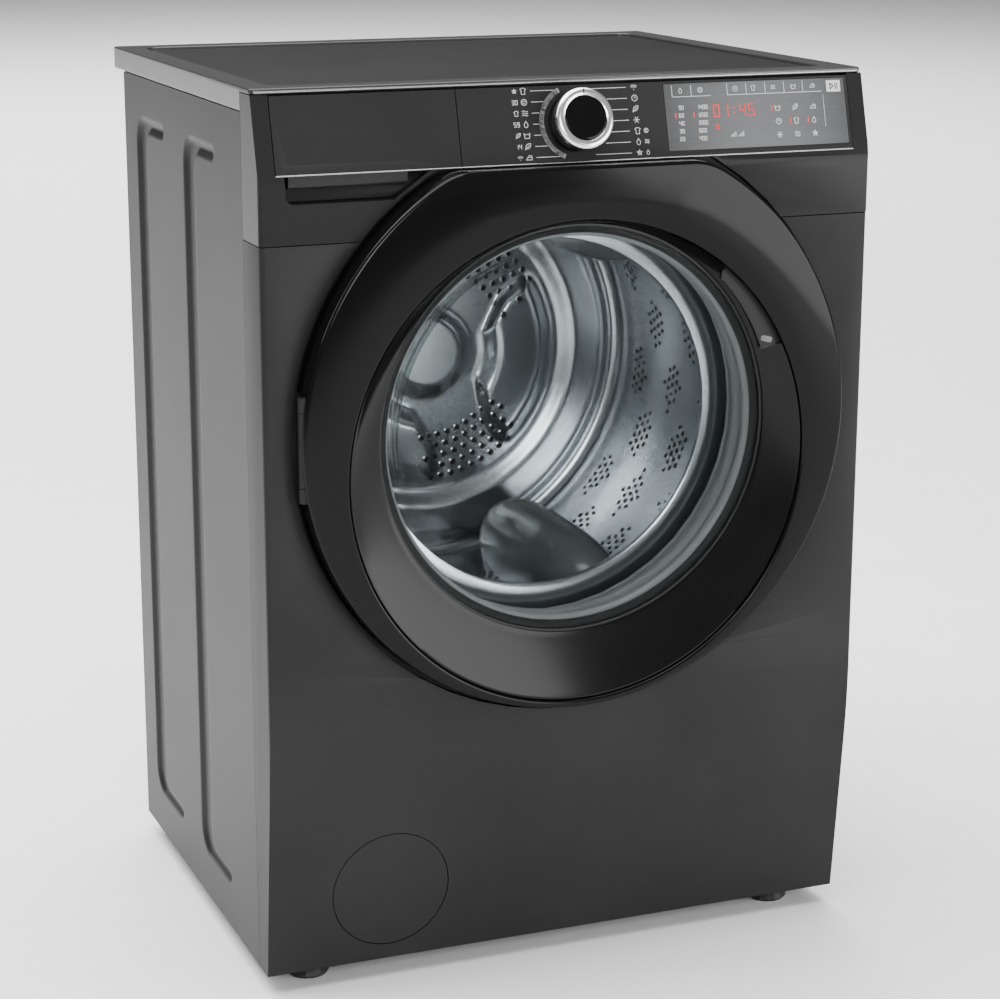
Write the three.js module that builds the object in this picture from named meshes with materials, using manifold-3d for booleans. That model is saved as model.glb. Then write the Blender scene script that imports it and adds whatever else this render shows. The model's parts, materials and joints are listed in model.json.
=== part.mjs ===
// A front load washing machine, as an assembly of separate pieces.
// Millimetres, +X to the right, +Y to the rear, +Z up. The front faces -Y.
// The origin is on the floor, under the middle of the machine.
import * as THREE from "three";
import { mergeVertices } from "three/addons/utils/BufferGeometryUtils.js";
import Module from "manifold-3d";

// ---------------------------------------------------------------- driving dimensions

// Overall size, with the door closed.
const WIDTH = 600;
const HEIGHT = 850;
const DEPTH = 540;

// Clearances between pieces.
const GAP = 0.4; // between fixed pieces that touch
const RUNNING = 0.6; // around a piece that turns or slides

// Cabinet.
const DOOR_PROUD = 20; // how far the door stands in front of the cabinet
const BACK_OVERHANG = 41; // the worktop reaches past the back panel
const FOOT_HEIGHT = 20;
const SHEET = 1.5; // steel sheet
const WALL = 3; // moulded plastic wall
const SIDE_WRAP = 51.6; // how far the front wraps round onto the sides
const CORNER = 5; // vertical front corners
const FLANGE = 18; // folded edge of a side panel
const SKIRT = 22; // height of the worktop's edge
const RIM_WIDTH = 26; // worktop border around its top panel
const RIM_RISE = 3; // border above the top panel

// Stamped channels in the side panels.
const RIB_DEPTH = 4;
const RIB_WIDTH = 39;
const RIB_FOOT = 14; // height of a channel's foot
const RIB_REACH = 62; // a foot reaches this far forward of its channel
const RIB_BEND = 28;
const RIB_LOW = 66; // lowest edge above the floor
const RIB_TOP = 62; // highest edge below the worktop
const RIB_PLACES = [0.52, 0.896]; // rear edges, as shares of the cabinet's depth

// Control fascia, which leans back.
const FASCIA_LOW = 74; // its lower edge, below the top
const FASCIA_HIGH = 5; // its upper edge, below the top
const LEAN_LOW = 3; // how far behind the front its lower edge is
const LEAN_HIGH = 22;
const SHOULDER = 18; // height of the roll below the fascia
const CAP_WIDTH = 16; // frame strip at each end of the fascia
const DRAWER_WIDTH = 172;
const DISPLAY_WIDTH = 188;
const DISPLAY_INSET = 3; // from the fascia's right end
const DISPLAY_THICK = 0.8;
const SEAM_DROP = 134.6; // seam between upper frame and front panel, below the top

// Programme knob.
const KNOB_X = 2;
const KNOB_R = 20;
const KNOB_RING_R = 28;
const KNOB_DEPTH = 26;
const RING_DEPTH = 7; // the bright ring at the knob's front
const KNOB_SHAFT_R = 4;

// Detergent drawer.
const TRAY_DEPTH = 236;
const TRAY_WALL = 2;
const GRIP_WIDTH = 110;
const GRIP_DROP = 12;
const RECESS_DROP = 25; // hand recess below the drawer front
const RECESS_DEPTH = 22;
const RECESS_CORNER = 8;

// Door, measured from its own centre line.
const DOOR_SIDE_MARGIN = 31; // beside the door, at its front edge
const DOOR_FLAT = 240; // flat top above the centre
const DOOR_DROP = 315.5; // centre below the top
const DOOR_BLEND = 60; // corners between the flat top and the round
const DOOR_DRAFT = 3.5; // the rim is this much wider at its back edge
const DOOR_WALL = 4;
const BOWL_EDGE = 42; // width of the flat rim, measured at the sides
const BOWL_EDGE_DROP = 35.5; // the dished part's circle is lower than the rim's
const DISH_DEPTH = 17;
const GLASS_MARGIN = 79; // from the rim's edge to the glass
const GLASS_DROP = 7; // glass centre below the door's centre
const GLASS_THICK = 4;
const GLASS_DEPTH = 104;
const GLASS_TAPER = 46;
const GROOVE = 7; // gap around the door in the cabinet front
const GROOVE_DEPTH = 9;
const MOUTH_MARGIN = 64; // from the rim's edge to the opening in the cabinet
const GRIP_FROM = 25; // hand slot in the dish, angles in degrees
const GRIP_TO = 52;
const POCKET_DEPTH = 9;

// Door hinge and latch.
const HINGE_INSET = 6.5; // axis inside the rim's side edge
const HINGE_BACK = 10; // axis behind the door's front face
const PIN_R = 2.5;
const KNUCKLE_R = 5.5;
const HINGE_HEIGHT = 96;
const HINGE_MIDDLE = 68;
const LATCH_INSET = 30;
const HOOK_HEIGHT = 4;

// Tub and drum.
const TUB_CLEARANCE = 45; // between tub and cabinet side
const TUB_WALL = 5;
const TUB_FRONT = 66; // tub front, behind the cabinet front
const TUB_BACK = 40; // tub back, in front of the back panel
const DRUM_GAP = 16;
const DRUM_WALL = 2;
const DRUM_MOUTH = 82; // drum mouth is this much smaller than the tub
const LIFTER_HEIGHT = 72;
const LIFTER_WIDTH = 92;
const LIFTERS = 3;
const LIFTER_TURN = 292; // where the first lifter stops, in degrees
const SHAFT_R = 14;
const BEARING_R = 31;
const SPIDER_ARM = 34;
const PULLEY_R = 140;
const PULLEY_WIDTH = 13;
const MOTOR_R = 60;
const MOTOR_PULLEY_R = 11;
const MOTOR_X = 60;
const MOTOR_GAP = 10;
const BELT_THICK = 3;
const HEATER_R = 3.5;

// Suspension.
const TRAVEL = 10; // the tub may rise and fall this much
const SPRING_X = 262;
const SPRING_BEHIND = 53.5; // springs stand this far behind the detergent tray
const LUG_X = 205; // where a spring lug meets the tub
const SPRING_R = 11;
const SPRING_WIRE = 2;
const SPRING_TURNS = 8;
const DAMPER_R = 13;
const DAMPER_X = 232;
const DAMPER_TILT = 58; // the top leans this far towards the middle

// Pump and service cover.
const FILTER_X = -179;
const FILTER_Z = 93;
const FILTER_COVER_R = 58.5;
const CAP_R = 30;
const PUMP_R = 36;
const PUMP_LENGTH = 96;

// Front panel's curve below the door.
const BEND_TOP = 350;
const BEND_BOTTOM = 170;
const TUCK = 0.1012; // slope of the straight stretch below the bend

// Feet and rear fittings.
const FOOT_R = 21;
const FOOT_INSET = 52;
const STEM_R = 5;
const VALVE_X = -215; // inlet valve on the back
const VALVE_DROP = 70; // below the top
const COVER_W = 330; // rear service cover
const COVER_H = 360;

// Roundness of turned pieces.
const COARSE = 16;
const MEDIUM = 28;
const FINE = 40;

// ---------------------------------------------------------------- places that follow

const SIDE = WIDTH / 2;
const FRONT = -DEPTH / 2 + DOOR_PROUD;
const DOOR_FACE = -DEPTH / 2;
const WORKTOP_BACK = DEPTH / 2;
const BACK = WORKTOP_BACK - BACK_OVERHANG;
const SEAM_Y = FRONT + SIDE_WRAP;
const SKIRT_Z = HEIGHT - SKIRT;
const SEAM_Z = HEIGHT - SEAM_DROP;
const FASCIA_Z = HEIGHT - FASCIA_LOW;
const DOOR_Z = HEIGHT - DOOR_DROP;
const DOOR_R = SIDE - DOOR_SIDE_MARGIN;
const BOWL_R = DOOR_R - BOWL_EDGE;
const BOWL_Z = DOOR_Z - BOWL_EDGE_DROP;
const GLASS_R = DOOR_R - GLASS_MARGIN;
const AXIS_Z = DOOR_Z - GLASS_DROP; // glass, tub and drum share one axis
const MOUTH_R = DOOR_R - MOUTH_MARGIN;
const GLASS_Y = DOOR_FACE + DISH_DEPTH + 4;
const RECESS_Y = FRONT + GROOVE_DEPTH; // floor of the door recess
const HINGE_X = -(DOOR_R + DOOR_DRAFT) + HINGE_INSET;
const HINGE_Y = DOOR_FACE + HINGE_BACK;
const LATCH_X = DOOR_R - LATCH_INSET;
const TUB_R = SIDE - TUB_CLEARANCE;
const TUB_Y0 = FRONT + TUB_FRONT;
const TUB_Y1 = BACK - TUB_BACK;
const TUB_SEAM = (TUB_Y0 + TUB_Y1) / 2;
const DRUM_R = TUB_R - TUB_WALL - DRUM_GAP;
const DRUM_Y0 = TUB_Y0 + TUB_WALL + 8;
const DRUM_Y1 = TUB_Y1 - TUB_WALL - 22;
const MOUTH_DRUM_R = TUB_R - DRUM_MOUTH;
const PULLEY_Y = TUB_Y1 + 17;
const MOTOR_Z = AXIS_Z - Math.sqrt((TUB_R + MOTOR_R + MOTOR_GAP) ** 2 - MOTOR_X ** 2);
const BASE_TOP = FOOT_HEIGHT + WALL;
const VALVE_Z = HEIGHT - VALVE_DROP;
const SPRING_TOP = SKIRT_Z - 24;

// ---------------------------------------------------------------- solids

const wasm = await Module();
wasm.setup();

const V2 = (x, y) => new THREE.Vector2(x, y);

// A closed geometry as a solid that can be joined and cut.
function solid(geometry) {
  const bare = geometry.clone();
  bare.deleteAttribute("normal");
  bare.deleteAttribute("uv");
  const merged = mergeVertices(bare, 1e-4);
  const index = merged.index.array;
  const kept = [];
  for (let i = 0; i < index.length; i += 3) {
    const [a, b, c] = [index[i], index[i + 1], index[i + 2]];
    if (a !== b && b !== c && c !== a) kept.push(a, b, c);
  }
  return new wasm.Manifold(
    new wasm.Mesh({
      numProp: 3,
      vertProperties: merged.attributes.position.array,
      triVerts: new Uint32Array(kept),
    }),
  );
}

// A solid as a geometry with flat faces.
function geometryOf(made) {
  const mesh = made.getMesh();
  const geometry = new THREE.BufferGeometry();
  geometry.setAttribute("position", new THREE.BufferAttribute(mesh.vertProperties, 3));
  geometry.setIndex(new THREE.BufferAttribute(mesh.triVerts, 1));
  const flat = geometry.toNonIndexed();
  flat.computeVertexNormals();
  return flat;
}

const join = (first, ...rest) => rest.reduce((all, one) => all.add(one), first);
const cut = (first, ...rest) => rest.reduce((all, one) => all.subtract(one), first);

// A block between two places on each axis.
function block([x0, x1], [y0, y1], [z0, z1]) {
  const geometry = new THREE.BoxGeometry(x1 - x0, y1 - y0, z1 - z0);
  geometry.translate((x0 + x1) / 2, (y0 + y1) / 2, (z0 + z1) / 2);
  return solid(geometry);
}

// Where a flat outline is drawn, and which way it is pushed out.
const BASES = {
  X: [new THREE.Vector3(0, 1, 0), new THREE.Vector3(0, 0, 1), new THREE.Vector3(1, 0, 0)],
  Y: [new THREE.Vector3(1, 0, 0), new THREE.Vector3(0, 0, 1), new THREE.Vector3(0, -1, 0)],
  Z: [new THREE.Vector3(1, 0, 0), new THREE.Vector3(0, 1, 0), new THREE.Vector3(0, 0, 1)],
};

// An outline pushed out along an axis: X takes (y, z), Y takes (x, z), Z takes (x, y).
function prism(outline, axis, from, to) {
  const shape = outline instanceof THREE.Shape ? outline : new THREE.Shape(outline);
  const geometry = new THREE.ExtrudeGeometry(shape, {
    depth: to - from,
    bevelEnabled: false,
    curveSegments: 6,
  });
  geometry.applyMatrix4(new THREE.Matrix4().makeBasis(...BASES[axis]));
  const start = axis === "Y" ? to : from;
  geometry.translate(axis === "X" ? start : 0, axis === "Y" ? start : 0, axis === "Z" ? start : 0);
  return solid(geometry);
}

// A profile of [radius, place along the axis] turned about an axis through a centre.
function turned(profile, axis, centre, segments = MEDIUM) {
  const area = profile.reduce((sum, [r, h], i) => {
    const [r2, h2] = profile[(i + 1) % profile.length];
    return sum + r * h2 - r2 * h;
  }, 0);
  const ordered = area > 0 ? profile : [...profile].reverse();
  const onAxis = ordered.some(([r]) => r === 0);
  let points = ordered.map(([r, h]) => V2(r, h));
  if (onAxis) {
    while (points[0].x !== 0 || points.at(-1).x !== 0) points.push(points.shift());
  } else {
    points.push(points[0].clone());
  }
  const geometry = new THREE.LatheGeometry(points, segments);
  if (axis === "Z") geometry.rotateX(Math.PI / 2);
  if (axis === "X") geometry.rotateZ(-Math.PI / 2);
  geometry.translate(...centre);
  return solid(geometry);
}

const rod = (radius, axis, [from, to], centre, segments = COARSE) =>
  turned([[0, from], [radius, from], [radius, to], [0, to]], axis, centre, segments);

const tube = (outer, inner, axis, [from, to], centre, segments = COARSE) =>
  turned([[inner, from], [outer, from], [outer, to], [inner, to]], axis, centre, segments);

// A line of [radius, place] points made into a closed band of even thickness.
function band(line, thickness) {
  const side = (sign) =>
    line.map(([r, h], i) => {
      const [r0, h0] = line[Math.max(i - 1, 0)];
      const [r1, h1] = line[Math.min(i + 1, line.length - 1)];
      const length = Math.hypot(r1 - r0, h1 - h0);
      const push = (sign * thickness) / 2 / length;
      return [r - (h1 - h0) * push, h + (r1 - r0) * push];
    });
  return [...side(1), ...side(-1).reverse()];
}

// Points along an arc, angles in degrees.
function arc([x, y], radius, from, to, steps) {
  return Array.from({ length: steps + 1 }, (_, i) => {
    const angle = ((from + ((to - from) * i) / steps) * Math.PI) / 180;
    return [x + radius * Math.cos(angle), y + radius * Math.sin(angle)];
  });
}

const outlineOf = (points) => points.map(([x, y]) => V2(x, y));

// A rectangle with rounded corners.
function roundedRect([x0, x1], [y0, y1], radius, steps = 4) {
  return outlineOf([
    ...arc([x1 - radius, y0 + radius], radius, -90, 0, steps),
    ...arc([x1 - radius, y1 - radius], radius, 0, 90, steps),
    ...arc([x0 + radius, y1 - radius], radius, 90, 180, steps),
    ...arc([x0 + radius, y0 + radius], radius, 180, 270, steps),
  ]);
}

// Outlines of equal length joined one after another, the last back to the first.
function loftedRing(sections) {
  const count = sections[0].points.length;
  const position = sections.flatMap(({ y, points }) => points.flatMap(([x, z]) => [x, y, z]));
  const index = [];
  sections.forEach((_, s) => {
    const next = ((s + 1) % sections.length) * count;
    const here = s * count;
    for (let i = 0; i < count; i += 1) {
      const j = (i + 1) % count;
      index.push(here + i, here + j, next + j, here + i, next + j, next + i);
    }
  });
  const geometry = new THREE.BufferGeometry();
  geometry.setAttribute("position", new THREE.Float32BufferAttribute(position, 3));
  geometry.setIndex(index);
  const made = solid(geometry);
  if (made.volume() > 0) return made;
  return loftedRing([...sections].reverse());
}

// A round section swept along a smooth path.
function sweptTube(radius, path, sides, steps) {
  const section = new THREE.Shape(outlineOf(arc([0, 0], radius, 0, 360 - 360 / sides, sides - 1)));
  return solid(new THREE.ExtrudeGeometry(section, { steps, extrudePath: path, bevelEnabled: false }));
}

// ---------------------------------------------------------------- scene graph

const group = new THREE.Group();

const FINISHES = {
  graphite: [0x4b4b4d, 0.42, 0.55],
  darkPlastic: [0x2f2f31, 0.35, 0.0],
  gloss: [0x121213, 0.12, 0.0],
  silver: [0x8d8e8f, 0.35, 0.8],
  chrome: [0xd8d9da, 0.12, 1.0],
  glass: [0x2b2d2e, 0.05, 0.0],
  rubber: [0x5c5e60, 0.8, 0.0],
  steel: [0xb9bbbd, 0.3, 1.0],
  tubPlastic: [0xa9abac, 0.6, 0.0],
  cast: [0x6f7072, 0.6, 0.7],
  concrete: [0x8f8c86, 0.9, 0.0],
  zinc: [0x9a9ca0, 0.45, 0.8],
  pale: [0xd3d4d2, 0.5, 0.0],
  black: [0x1b1b1c, 0.6, 0.0],
};

function add(name, made, finish) {
  const [color, roughness, metalness] = FINISHES[finish];
  const material = new THREE.MeshStandardMaterial({ color, roughness, metalness });
  const mesh = new THREE.Mesh(geometryOf(made), material);
  mesh.name = name;
  group.add(mesh);
}

// ---------------------------------------------------------------- worktop and cabinet

// A point on the leaning fascia plane: along it from 0 to 1, and inwards from it.
function lean(along, inwards = 0) {
  const low = V2(FRONT + LEAN_LOW, FASCIA_Z);
  const high = V2(FRONT + LEAN_HIGH, HEIGHT - FASCIA_HIGH);
  const up = high.clone().sub(low);
  const into = V2(up.y, -up.x).normalize();
  return low.addScaledVector(up, along).addScaledVector(into, inwards);
}

const LEAN_ANGLE = Math.atan2(LEAN_HIGH - LEAN_LOW, FASCIA_LOW - FASCIA_HIGH);

function worktopFrame() {
  const y0 = FRONT + LEAN_HIGH;
  const outer = prism(roundedRect([-SIDE, SIDE], [y0, WORKTOP_BACK], CORNER), "Z", SKIRT_Z, HEIGHT);
  const inset = RIM_WIDTH;
  const panel = roundedRect(
    [-SIDE + inset, SIDE - inset],
    [y0 + inset, WORKTOP_BACK - inset],
    CORNER * 3,
  );
  const under = block(
    [-SIDE + WALL, SIDE - WALL],
    [y0 - 1, WORKTOP_BACK - WALL],
    [SKIRT_Z - 1, HEIGHT - FASCIA_HIGH],
  );
  const front = block([-SIDE - 1, SIDE + 1], [y0 - 1, SEAM_Y], [SKIRT_Z - 1, HEIGHT - FASCIA_HIGH]);
  return cut(outer, under, front, prism(panel, "Z", SKIRT_Z - 1, HEIGHT + 1));
}

function worktopPanel() {
  const y0 = FRONT + LEAN_HIGH;
  const inset = RIM_WIDTH + GAP;
  const field = roundedRect(
    [-SIDE + inset, SIDE - inset],
    [y0 + inset, WORKTOP_BACK - inset],
    CORNER * 3 - GAP,
  );
  const lip = RIM_WIDTH - 10;
  const under = HEIGHT - FASCIA_HIGH - GAP;
  const ledge = block(
    [-SIDE + lip, SIDE - lip],
    [y0 + lip, WORKTOP_BACK - lip],
    [under - 4, under],
  );
  return join(prism(field, "Z", under - 4, HEIGHT - RIM_RISE), ledge);
}

const ribRear = (share) => FRONT + share * (BACK - FRONT);

// Outline of one side channel, grown evenly: a run with a foot at each end that points forward.
function ribOutline(rear, grow) {
  const front = rear - RIB_WIDTH - grow;
  const back = rear + grow;
  const low = RIB_LOW - grow;
  const high = HEIGHT - RIB_TOP + grow;
  const foot = RIB_FOOT + 2 * grow;
  const tip = foot / 2;
  const end = rear - RIB_WIDTH - RIB_REACH;
  const bend = RIB_BEND + grow;
  const inner = RIB_BEND - RIB_FOOT;
  return outlineOf([
    ...arc([end, low + tip], tip, 90, 270, 5),
    ...arc([back - bend, low + bend], bend, 270, 360, 4),
    ...arc([back - bend, high - bend], bend, 0, 90, 4),
    ...arc([end, high - tip], tip, 90, 270, 5),
    ...arc([front - inner, high - foot - inner], inner, 90, 0, 3),
    ...arc([front - inner, low + foot + inner], inner, 0, -90, 3),
  ]);
}

function sidePanel(sign) {
  const outer = sign * SIDE;
  const span = (near, far) => [outer - sign * near, outer - sign * far].sort((a, b) => a - b);
  const y = [SEAM_Y + GAP, BACK - SHEET - GAP];
  const z = [FOOT_HEIGHT, SKIRT_Z - GAP];
  const flange = (zs) => block(span(WALL + GAP, FLANGE), y, zs);
  let made = block(span(0, SHEET), y, z);
  made = join(made, block(span(0, WALL + 1), y, [z[0], z[0] + SHEET]));
  made = join(made, block(span(0, FLANGE), [y[1] - SHEET, y[1]], z));
  made = join(made, block(span(0, FLANGE), y, [z[1] - SHEET, z[1]]));
  made = join(made, flange([z[0], z[0] + SHEET]));
  for (const share of RIB_PLACES) {
    const [x0, x1] = span(SHEET / 2, RIB_DEPTH + SHEET);
    made = join(made, prism(ribOutline(ribRear(share), SHEET), "X", x0, x1));
  }
  const shelf = [SPRING_Y() - 10, SPRING_Y() + 10];
  made = join(made, block(span(SHEET / 2, SIDE - SPRING_X + 14), shelf, [SPRING_TOP, SPRING_TOP + 3]));
  for (const share of RIB_PLACES) {
    const [x0, x1] = span(-1, RIB_DEPTH);
    made = cut(made, prism(ribOutline(ribRear(share), 0), "X", x0, x1));
  }
  return made;
}

function backPanel() {
  const inside = SIDE - WALL - GAP;
  const sheet = block([-inside, inside], [BACK - SHEET, BACK], [FOOT_HEIGHT, SKIRT_Z - GAP]);
  const half = COVER_W / 2 - 14;
  const opening = roundedRect(
    [-half, half],
    [coverMiddle() - COVER_H / 2 + 14, coverMiddle() + COVER_H / 2 - 14],
    50,
  );
  const valve = rod(14, "Y", [BACK - 10, BACK + 10], [VALVE_X, 0, VALVE_Z]);
  const drain = rod(15, "Y", [BACK - 10, BACK + 10], [-VALVE_X, 0, VALVE_Z - 20]);
  const gland = rod(9, "Y", [BACK - 10, BACK + 10], [-VALVE_X, 0, VALVE_Z - 90]);
  return cut(sheet, prism(opening, "Y", BACK - 10, BACK + 10), valve, drain, gland);
}

const coverMiddle = () => AXIS_Z - 60;

// A dished plate over the pulley and belt, with two stamped rings.
function rearCover() {
  const middle = coverMiddle();
  const half = COVER_W / 2;
  const plate = roundedRect([-half, half], [middle - COVER_H / 2, middle + COVER_H / 2], 60, 5);
  const inner = half - 26;
  const dish = roundedRect([-inner, inner], [middle - COVER_H / 2 + 26, middle + COVER_H / 2 - 26], 44, 5);
  const hollow = roundedRect(
    [-inner + SHEET, inner - SHEET],
    [middle - COVER_H / 2 + 26 + SHEET, middle + COVER_H / 2 - 26 - SHEET],
    44 - SHEET,
    5,
  );
  const y = BACK + GAP;
  return cut(
    join(prism(plate, "Y", y, y + SHEET), prism(dish, "Y", y, y + 9)),
    prism(hollow, "Y", y - 1, y + 9 - SHEET),
  );
}

function baseTray() {
  const inside = SIDE - FLANGE - GAP;
  const front = FRONT + 34;
  const back = BACK - SHEET - FLANGE - GAP;
  const tray = block([-inside, inside], [front, back], [FOOT_HEIGHT, FOOT_HEIGHT + 42]);
  const hollow = block(
    [-inside + WALL, inside - WALL],
    [front + WALL, back - WALL],
    [BASE_TOP, FOOT_HEIGHT + 50],
  );
  let made = cut(tray, hollow);
  for (const [x, y] of footPlaces()) {
    made = join(made, rod(15, "Z", [FOOT_HEIGHT, FOOT_HEIGHT + 20], [x, y, 0]));
  }
  for (const [x, y] of footPlaces()) {
    made = cut(made, rod(STEM_R + RUNNING, "Z", [0, FOOT_HEIGHT + 40], [x, y, 0]));
  }
  return cut(made, filterCut(FILTER_COVER_R + 5));
}

const footPlaces = () => {
  const x = SIDE - FOOT_INSET;
  const front = FRONT + FOOT_INSET + 14;
  const back = BACK - FOOT_INSET;
  return [[-x, front], [x, front], [-x, back], [x, back]];
};

// A threaded stem with a lock nut and a wide rubber-soled pad.
function foot([x, y]) {
  const profile = [
    [0, 0],
    [FOOT_R - 2, 0],
    [FOOT_R, 3],
    [FOOT_R - 3, 8],
    [STEM_R + 5, 10],
    [STEM_R + 5, 16],
    [STEM_R, 17],
    [STEM_R, FOOT_HEIGHT + 26],
    [0, FOOT_HEIGHT + 26],
  ];
  return turned(profile, "Z", [x, y, 0], COARSE);
}

// ---------------------------------------------------------------- front

// The front surface below the seam: upright, then a soft bend, then a straight tuck.
function frontCurve(setback) {
  const points = [[FRONT + setback, SEAM_Z]];
  const steps = 8;
  for (let i = 0; i <= steps; i += 1) {
    const z = BEND_TOP - ((BEND_TOP - BEND_BOTTOM) * i) / steps;
    const fall = (TUCK * (BEND_TOP - z) ** 2) / (2 * (BEND_TOP - BEND_BOTTOM));
    points.push([FRONT + setback + fall, z]);
  }
  const straight = (TUCK * (BEND_TOP - BEND_BOTTOM)) / 2 + TUCK * (BEND_BOTTOM - FOOT_HEIGHT);
  points.push([FRONT + setback + straight, FOOT_HEIGHT]);
  return points;
}

// The cabinet front's outer solid from the floor of the cabinet to the seam.
function frontBlock(inset, height, low) {
  const curve = frontCurve(inset);
  curve[0][1] = height;
  curve.at(-1)[1] = low;
  const profile = outlineOf([...curve, [SEAM_Y + (inset ? 5 : 0), low], [SEAM_Y + (inset ? 5 : 0), height]]);
  const side = SIDE - inset;
  const plan = roundedRect(
    [-side, side],
    [FRONT + inset, SEAM_Y + 40],
    Math.max(CORNER - inset, 1),
    3,
  );
  return prism(profile, "X", -side, side).intersect(prism(plan, "Z", low - 1, height + 1));
}

// The door's outline, grown outwards: round, with a flat top and blended corners.
function doorOutline(grow, rise = Math.min(grow, 0)) {
  const big = DOOR_R + grow;
  const flat = DOOR_FLAT + rise;
  const blend = DOOR_BLEND + grow;
  const across = Math.sqrt((big - blend) ** 2 - (flat - blend) ** 2);
  const meets = (Math.atan2(flat - blend, across) * 180) / Math.PI;
  const flats = [0.75, 0.5, 0.25, 0, -0.25, -0.5, -0.75];
  return [
    ...arc([0, DOOR_Z], big, 180 - meets, 360 + meets, 44),
    ...arc([across, DOOR_Z + flat - blend], blend, meets, 90, 5).slice(1),
    ...flats.map((t) => [across * t, DOOR_Z + flat]),
    ...arc([-across, DOOR_Z + flat - blend], blend, 90, 180 - meets, 5).slice(0, -1),
  ];
}

const doorPrism = (grow, from, to) => prism(outlineOf(doorOutline(grow, grow)), "Y", from, to);

// Circle points that keep step with the door's outline.
function circleLike(outline, radius, z) {
  return outline.map(([x, pz]) => {
    const angle = Math.atan2(pz - z, x);
    return [radius * Math.cos(angle), z + radius * Math.sin(angle)];
  });
}

// The stamped well that the door closes into, with the round opening through it.
function doorWell(made) {
  const floor = RECESS_Y + SHEET;
  const well = doorPrism(GROOVE + SHEET, FRONT + SHEET / 2, floor);
  return cut(
    join(made, well.intersect(block([-SIDE, SIDE], [FRONT, floor], [FOOT_HEIGHT, SEAM_Z]))),
    doorPrism(GROOVE, FRONT - 5, RECESS_Y),
    rod(MOUTH_R, "Y", [FRONT, floor + 5], [0, 0, AXIS_Z], FINE),
    block(
      [LATCH_X - 14, LATCH_X + 14],
      [FRONT, floor + 5],
      [DOOR_Z - 14, DOOR_Z + 14],
    ),
  );
}

function frontPanel() {
  const top = SEAM_Z - GAP;
  const shell = cut(frontBlock(0, top, FOOT_HEIGHT), frontBlock(SHEET, top + 5, FOOT_HEIGHT - 5));
  const hem = block(
    [-SIDE + SHEET, SIDE - SHEET],
    [FRONT + 26, FRONT + 32],
    [FOOT_HEIGHT, FOOT_HEIGHT + SHEET],
  );
  const cleared = block([-SIDE * 2, SIDE * 2], [FRONT - 50, BACK], [top, HEIGHT]);
  const made = cut(doorWell(join(shell, hem)), cleared);
  return cut(made, filterCut(FILTER_COVER_R));
}

const filterCut = (radius) => rod(radius, "Y", [FRONT - 5, FRONT + 60], [FILTER_X, 0, FILTER_Z], MEDIUM);

// A round door in the front panel, flush with its slope.
function filterCover() {
  const skin = cut(
    frontBlock(0, BEND_TOP, FOOT_HEIGHT),
    frontBlock(2.5, BEND_TOP + 5, FOOT_HEIGHT - 5),
  );
  return skin.intersect(filterCut(FILTER_COVER_R - 0.7));
}

// The upper frame's section: a short upright, a soft shoulder, then the lean behind the fascia.
function frameProfile(inset) {
  const shoulder = [0, 0.35, 0.7, 1].map((t) => [
    FRONT + inset + LEAN_LOW * t * t,
    FASCIA_Z - SHOULDER + SHOULDER * t,
  ]);
  const high = lean(1, inset);
  return outlineOf([
    [FRONT + inset, SEAM_Z + (inset ? -5 : GAP)],
    ...shoulder,
    [high.x, HEIGHT - FASCIA_HIGH - GAP + (inset ? 5 : 0)],
    [SEAM_Y + (inset ? 5 : 0), HEIGHT - FASCIA_HIGH - GAP + (inset ? 5 : 0)],
    [SEAM_Y + (inset ? 5 : 0), SEAM_Z + (inset ? -5 : GAP)],
  ]);
}

function frameShell() {
  const solidPart = (inset) => {
    const side = SIDE - inset;
    const plan = roundedRect([-side, side], [FRONT + inset - 1, SEAM_Y + 40], Math.max(CORNER - inset, 1), 3);
    return prism(frameProfile(inset), "X", -side, side).intersect(prism(plan, "Z", 0, HEIGHT * 2));
  };
  return cut(solidPart(0), solidPart(WALL));
}

function upperFrame() {
  const floor = RECESS_Y + WALL;
  const above = block([-SIDE + 8, SIDE - 8], [FRONT - 5, floor], [SEAM_Z + GAP, FASCIA_Z - GAP]);
  const well = doorPrism(GROOVE + WALL, FRONT + 1, floor).intersect(above);
  const window = SIDE - CAP_WIDTH;
  const seat = outlineOf([
    [FRONT - 20, FASCIA_Z],
    [SEAM_Y - 20, FASCIA_Z],
    [SEAM_Y - 20, HEIGHT - FASCIA_HIGH + 5],
    [FRONT - 20, HEIGHT - FASCIA_HIGH + 5],
  ]);
  const shelf = block([-window, window], [FRONT + 3, FRONT + 16], [FASCIA_Z - 4, FASCIA_Z - GAP]);
  const opened = cut(frameShell(), prism(seat, "X", -window, window));
  const made = cut(
    join(opened, well, shelf),
    doorPrism(GROOVE, FRONT - 5, RECESS_Y).intersect(above),
    rod(MOUTH_R, "Y", [FRONT, floor + 5], [0, 0, AXIS_Z], FINE),
  );
  return handRecess(made);
}

const RECESS_X0 = () => -SIDE + CAP_WIDTH + 8;
const RECESS_X1 = () => RECESS_X0() + 118;

// The outline of the hand recess under the drawer front, whose right end slants beside the door.
function recessOutline(grow) {
  const x0 = RECESS_X0() - grow;
  const x1 = RECESS_X1() + grow;
  const low = FASCIA_Z - RECESS_DROP - grow;
  const high = FASCIA_Z + (grow ? 0 : 5);
  const corner = RECESS_CORNER + grow;
  return outlineOf([
    [x0, high],
    ...arc([x0 + corner, low + corner], corner, 180, 270, 4),
    [x1 - 14, low],
    [x1, low + 7],
    [x1 + 34, high],
  ]);
}

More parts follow.
